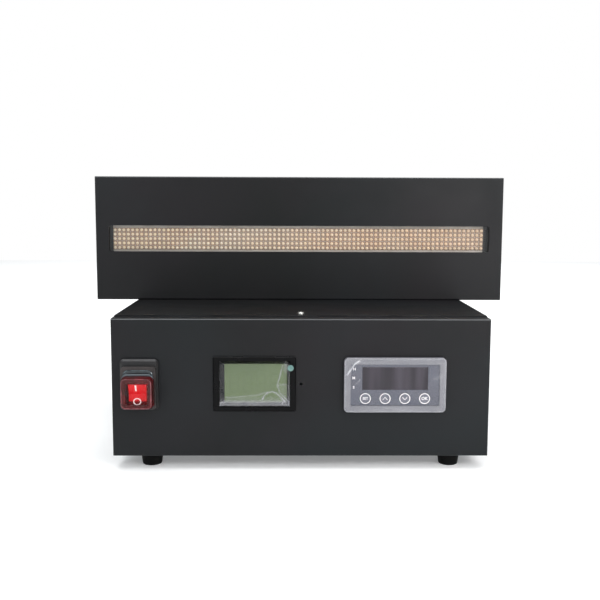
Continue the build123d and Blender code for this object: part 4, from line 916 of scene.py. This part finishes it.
# %% Display, with faint unlit figures
display_green = Finish("display_grey_green", (88, 102, 70), 0.22)
display_green.tint(cloudy, (82, 96, 66), 0.8, Scale=34.0)
display_green.raise_grain(grain, 0.00001, 0.3, Scale=500.0)
display_green.wear("meter_glass")

segment_ghost = Finish("segment_ghost", (83, 97, 67), 0.25)
segment_ghost.tint(cloudy, (79, 92, 63), Scale=90.0)


def figure(shape, middle, width, height, weight):
    """The seven bars of one figure, each a short bar with a gap at its ends."""
    gap, w, h = weight * 0.6, width / 2, height / 2
    x, z = middle
    for level in (-h, 0, h):
        stroke(shape, (x - w + gap, z + level), (x + w - gap, z + level), weight)
    for side in (-w, w):
        for level in (-h, 0):
            stroke(shape, (x + side, z + level + gap), (x + side, z + level + h - gap), weight)
    return shape


meter_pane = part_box("meter_glass")[0].y
figures = bmesh.new()
for place in (-16, -5.5, 5, 15.5):
    figure(figures, (place * mm, 0), 6.4 * mm, 14 * mm, 1.1 * mm)
turn_to_front(figures)
bmesh.ops.translate(figures, verts=figures.verts, vec=(meter_middle.x, meter_pane - 0.02 * mm, meter_middle.z))
finish_piece("meter_figures", figures, [segment_ghost], "cabinet", "meter_glass")

# %% Meter film
meter_creases = [
    [(21.8, 13.9), (19.5, 5.7), (17.7, -1.3), (19.2, -7.1), (23.3, -11.2), (25.6, -13.6)],
    [(6.0, -13.0), (6.9, -10.4), (9.8, -7.7), (13.3, -6.6), (16.8, -7.7), (20.4, -11.2), (23.3, -14.2)],
    [(-22.3, -11.5), (-9.5, -10.6), (2.2, -9.2), (9.8, -7.1)],
    [(18.6, -1.6), (24.5, -0.7)],
]
film_lift = 0.25 * mm
bezel_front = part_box("meter_bezel")[0].y
view_left, view_right, view_half_height = -23.4, 25.2, 15.2
mouth_half_width, mouth_half_height = 27.5, 18.1


def meter_film_lies(x, z):
    point = Vector((x, z))
    out_left = (view_left - x) / (view_left + mouth_half_width)
    out_right = (x - view_right) / (mouth_half_width - view_right)
    out_up = (abs(z) - view_half_height) / (mouth_half_height - view_half_height)
    climb = max(out_left, out_right, out_up, 0.0)
    folds = [bell(off_crease(point, crease), 0.5) for crease in meter_creases]
    place = meter_pane - film_lift + (bezel_front - meter_pane) * climb - 0.5 * mm * max(folds)
    # Creases are whiter, partly as a painted highlight
    milky_and_sheen = 0.02 + 0.3 * folds[0] + 0.38 * folds[1] + 0.2 * folds[2] + 0.24 * folds[3]
    # Painted reflection: a pale band along the bottom and a strip at the right, where the film lies on the bezel's
    # sloping sides
    milky_and_sheen += 0.22 * step_up(-z, 13.2, 14.4) + 0.08 * step_up(-z, 9.5, 12.5)
    milky_and_sheen += 0.3 * step_up(x, 25.8, 26.4) * step_up(-z, -15.5, -14) * step_up(27.1 - x, 0, 0.5)
    milky_and_sheen += 0.3 * step_up(x, 22.2, 23.6) * step_up(z, 5.5, 14.0) * step_up(26.0 - x, 0, 0.8)
    milky_and_sheen += 0.06 * step_up(x, 19.0, 22.0) * step_up(-z, 0, 3) + 0.05 * step_up(view_left - x, 0, 0.5)
    milky_and_sheen *= step_up(17.4 + z, 0, 0.5) * step_up(x + 27.2, 0, 0.6) * (1 - 0.8 * step_up(z, 15.0, 16.0))
    return place, min(milky_and_sheen, 0.9)


film("meter_wrap", "meter_film", meter_middle, (54.4 * mm, 35.8 * mm), 0.8 * mm, 0.4 * mm, meter_film_lies)

tab_radius, tab_x, tab_z = 2.4 * mm, 27.8 * mm, 12.8 * mm
tab = bmesh.new()
bmesh.ops.create_circle(tab, cap_ends=True, segments=28, radius=tab_radius,
                        matrix=Matrix.Rotation(math.radians(90), 4, "X"))
bmesh.ops.inset_region(tab, faces=tab.faces[:], thickness=0.5 * mm, depth=0.15 * mm, use_boundary=True)
tab_skin = Finish("pull_tab", (112, 146, 140), 0.3)
tab_skin.tint(cloudy, (84, 120, 116), 0.8, Scale=520.0, Low=0.4, High=0.6)
tab_skin.shader.inputs["Alpha"].default_value = 0.8
tab_skin.raise_grain(cloudy, 0.0002, 0.6, Scale=600.0)
bmesh.ops.solidify(tab, geom=tab.faces[:], thickness=0.1 * mm)
bmesh.ops.translate(tab, verts=tab.verts,
                    vec=(meter_middle.x + tab_x, bezel_front - 0.3 * mm, meter_middle.z + tab_z))
finish_piece("meter_wrap_tab", tab, [tab_skin], "cabinet", "film")

# %% [markdown]
# ## The controller
# A four-key timer sits in its own snap-in case. Its face is a grey printed sheet with a smoked window and four round
# keys, each with a white ring and a legend. Hours, minutes and seconds are marked by the window, as on any timer. The
# film over it makes the whole face milky, most of all on the rim, and a corner of it has folded over.

# %% Controller finishes
case_grey = Finish("controller_case_grey", (98, 98, 104), 0.4)
case_grey.tint(cloudy, (90, 90, 97), Scale=50.0)
case_grey.raise_grain(grain, 0.00003, 0.5, Scale=1700.0)
case_grey.wear("controller_case")

face_sheet = Finish("printed_face", (66, 67, 78), 0.45)
face_sheet.tint(cloudy, (92, 93, 104), 0.7, Scale=1500.0, Low=0.42, High=0.62)
face_sheet.tint(cloudy, (58, 63, 80), 0.6, Scale=45.0)
face_sheet.raise_grain(grain, 0.00004, 0.6, Scale=1500.0)
face_sheet.wear("controller_face")

key_grey = Finish("key_grey", (82, 83, 94), 0.4)
key_grey.tint(cloudy, (104, 105, 116), 0.6, Scale=1300.0, Low=0.42, High=0.62)
key_grey.raise_grain(grain, 0.00004, 0.5, Scale=1500.0)
key_grey.wear("key_set", "key_up", "key_down", "key_ok")

smoke = Finish("smoked_acrylic", (46, 42, 48), 0.2, specular=0.3)
smoke.shader.inputs["Alpha"].default_value = 0.96
bands = smoke.read(lines, Along_X=110.0, Along_Y=1.0, Along_Z=9.0)
smoke.tint(ramp(smoke.tree, bands, 0.35, 0.68), (72, 68, 76), 0.8)
smoke.wear("controller_window")

unlit_segments = Finish("unlit_segments", (92, 84, 88), 0.4)
unlit_segments.tint(cloudy, (78, 70, 76), Scale=300.0)
print("controller finishes")

# %% Unlit figures behind the smoked window
window_middle = spot("controller_window")
digits = bmesh.new()
for place in (-18.5, -6.5, 6.5, 18.5):
    figure(digits, (place * mm, 0), 7 * mm, 12 * mm, 1.2 * mm)
turn_to_front(digits)
bmesh.ops.translate(digits, verts=digits.verts, vec=(window_middle.x, panel_front - 0.03 * mm, window_middle.z))
finish_piece("display_segments", digits, [unlit_segments], "cabinet", "circuit_board")

# %% Rings and legends on the keys, and the unit letters
key_ink = 0.45 * mm


def arrow(shape, half_width, half_height):
    for side in (-1, 1):
        stroke(shape, (side * half_width, -half_height), (0, half_height), key_ink)
    return shape


for key, legend in (("set", "SET"), ("up", None), ("down", None), ("ok", "OK")):
    node = "key_" + key
    front = Matrix.Translation((spot(node).x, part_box(node)[0].y, spot(node).z))
    body = node + "_cap"
    printed(node + "_ring", ring(bmesh.new(), 4.2 * mm, 0.62 * mm), front, body, "key_plastic")
    mark = bmesh.new()
    if legend:
        word(mark, legend, 3.3 * mm if key == "ok" else 2.7 * mm)
    else:
        arrow(mark, 1.8 * mm, 1.0 * mm if key == "up" else -1.0 * mm)
    printed(node + "_legend", mark, front, body, "key_plastic")

face_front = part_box("controller_face")[0].y
for letter, x, z in (("H", -31.5, 12.5), ("M", -32.0, 5.5), ("S", -32.0, -1.9)):
    place = Matrix.Translation((controller_middle.x + x * mm, face_front, controller_middle.z + z * mm))
    printed("unit_letter_" + letter.lower(), word(bmesh.new(), letter, 2.9 * mm), place, "cabinet", "face_print")

# %% Controller film
corner_fold = [(-36.9, 8.6), (-34.2, 12.6), (-31.5, 16.6), (-28.2, 18.9)]
right_fold = [(29.5, 4.8), (37.5, 8.4)]
low_fold = [(-12.0, -19.5), (-8.0, -17.2), (4.0, -18.6), (12.0, -19.6)]
scratch = [(-30.4, 1.0), (-28.4, 2.9), (-27.2, 4.6)]
case_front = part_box("controller_case")[0].y


def controller_film_lies(x, z):
    point = Vector((x, z))
    rim = max(abs(x) - 34.3, abs(z) - 16.3)
    outer = max(abs(x) - 38.2, abs(z) - 20.2)
    fold = bell(off_crease(point, corner_fold), 0.75)
    ridge = max(fold, 0.6 * bell(off_crease(point, right_fold), 0.8), 0.6 * bell(off_crease(point, low_fold), 0.7))
    place = case_front - 0.15 * mm - 0.45 * mm * ridge + 0.1 * mm * step_up(-rim, 0, 3)
    # The creases and the folded corner are whiter, partly as a painted highlight
    milky_and_sheen = 0.055 + 0.13 * step_up(rim, -0.8, 0.6) + 0.6 * fold + 0.16 * step_up(outer, -0.3, 0.5)
    milky_and_sheen += 0.12 * bell(off_crease(point, right_fold), 1.3) + 0.14 * bell(off_crease(point, low_fold), 0.6)
    milky_and_sheen += 0.3 * bell(off_crease(point, scratch), 0.35) + 0.05 * bell(z + 14.4, 2.2) * bell(x, 4.5)
    over_window = step_up(25.7 - abs(x), 0, 0.5) * step_up(9.2 - abs(z - 5.2), 0, 0.5)
    return place, min(milky_and_sheen, 0.93) * (1 - over_window)


film("controller_wrap", "controller_film", controller_middle, (78.4 * mm, 42.4 * mm), 3 * mm, 0.5 * mm,
     controller_film_lies)
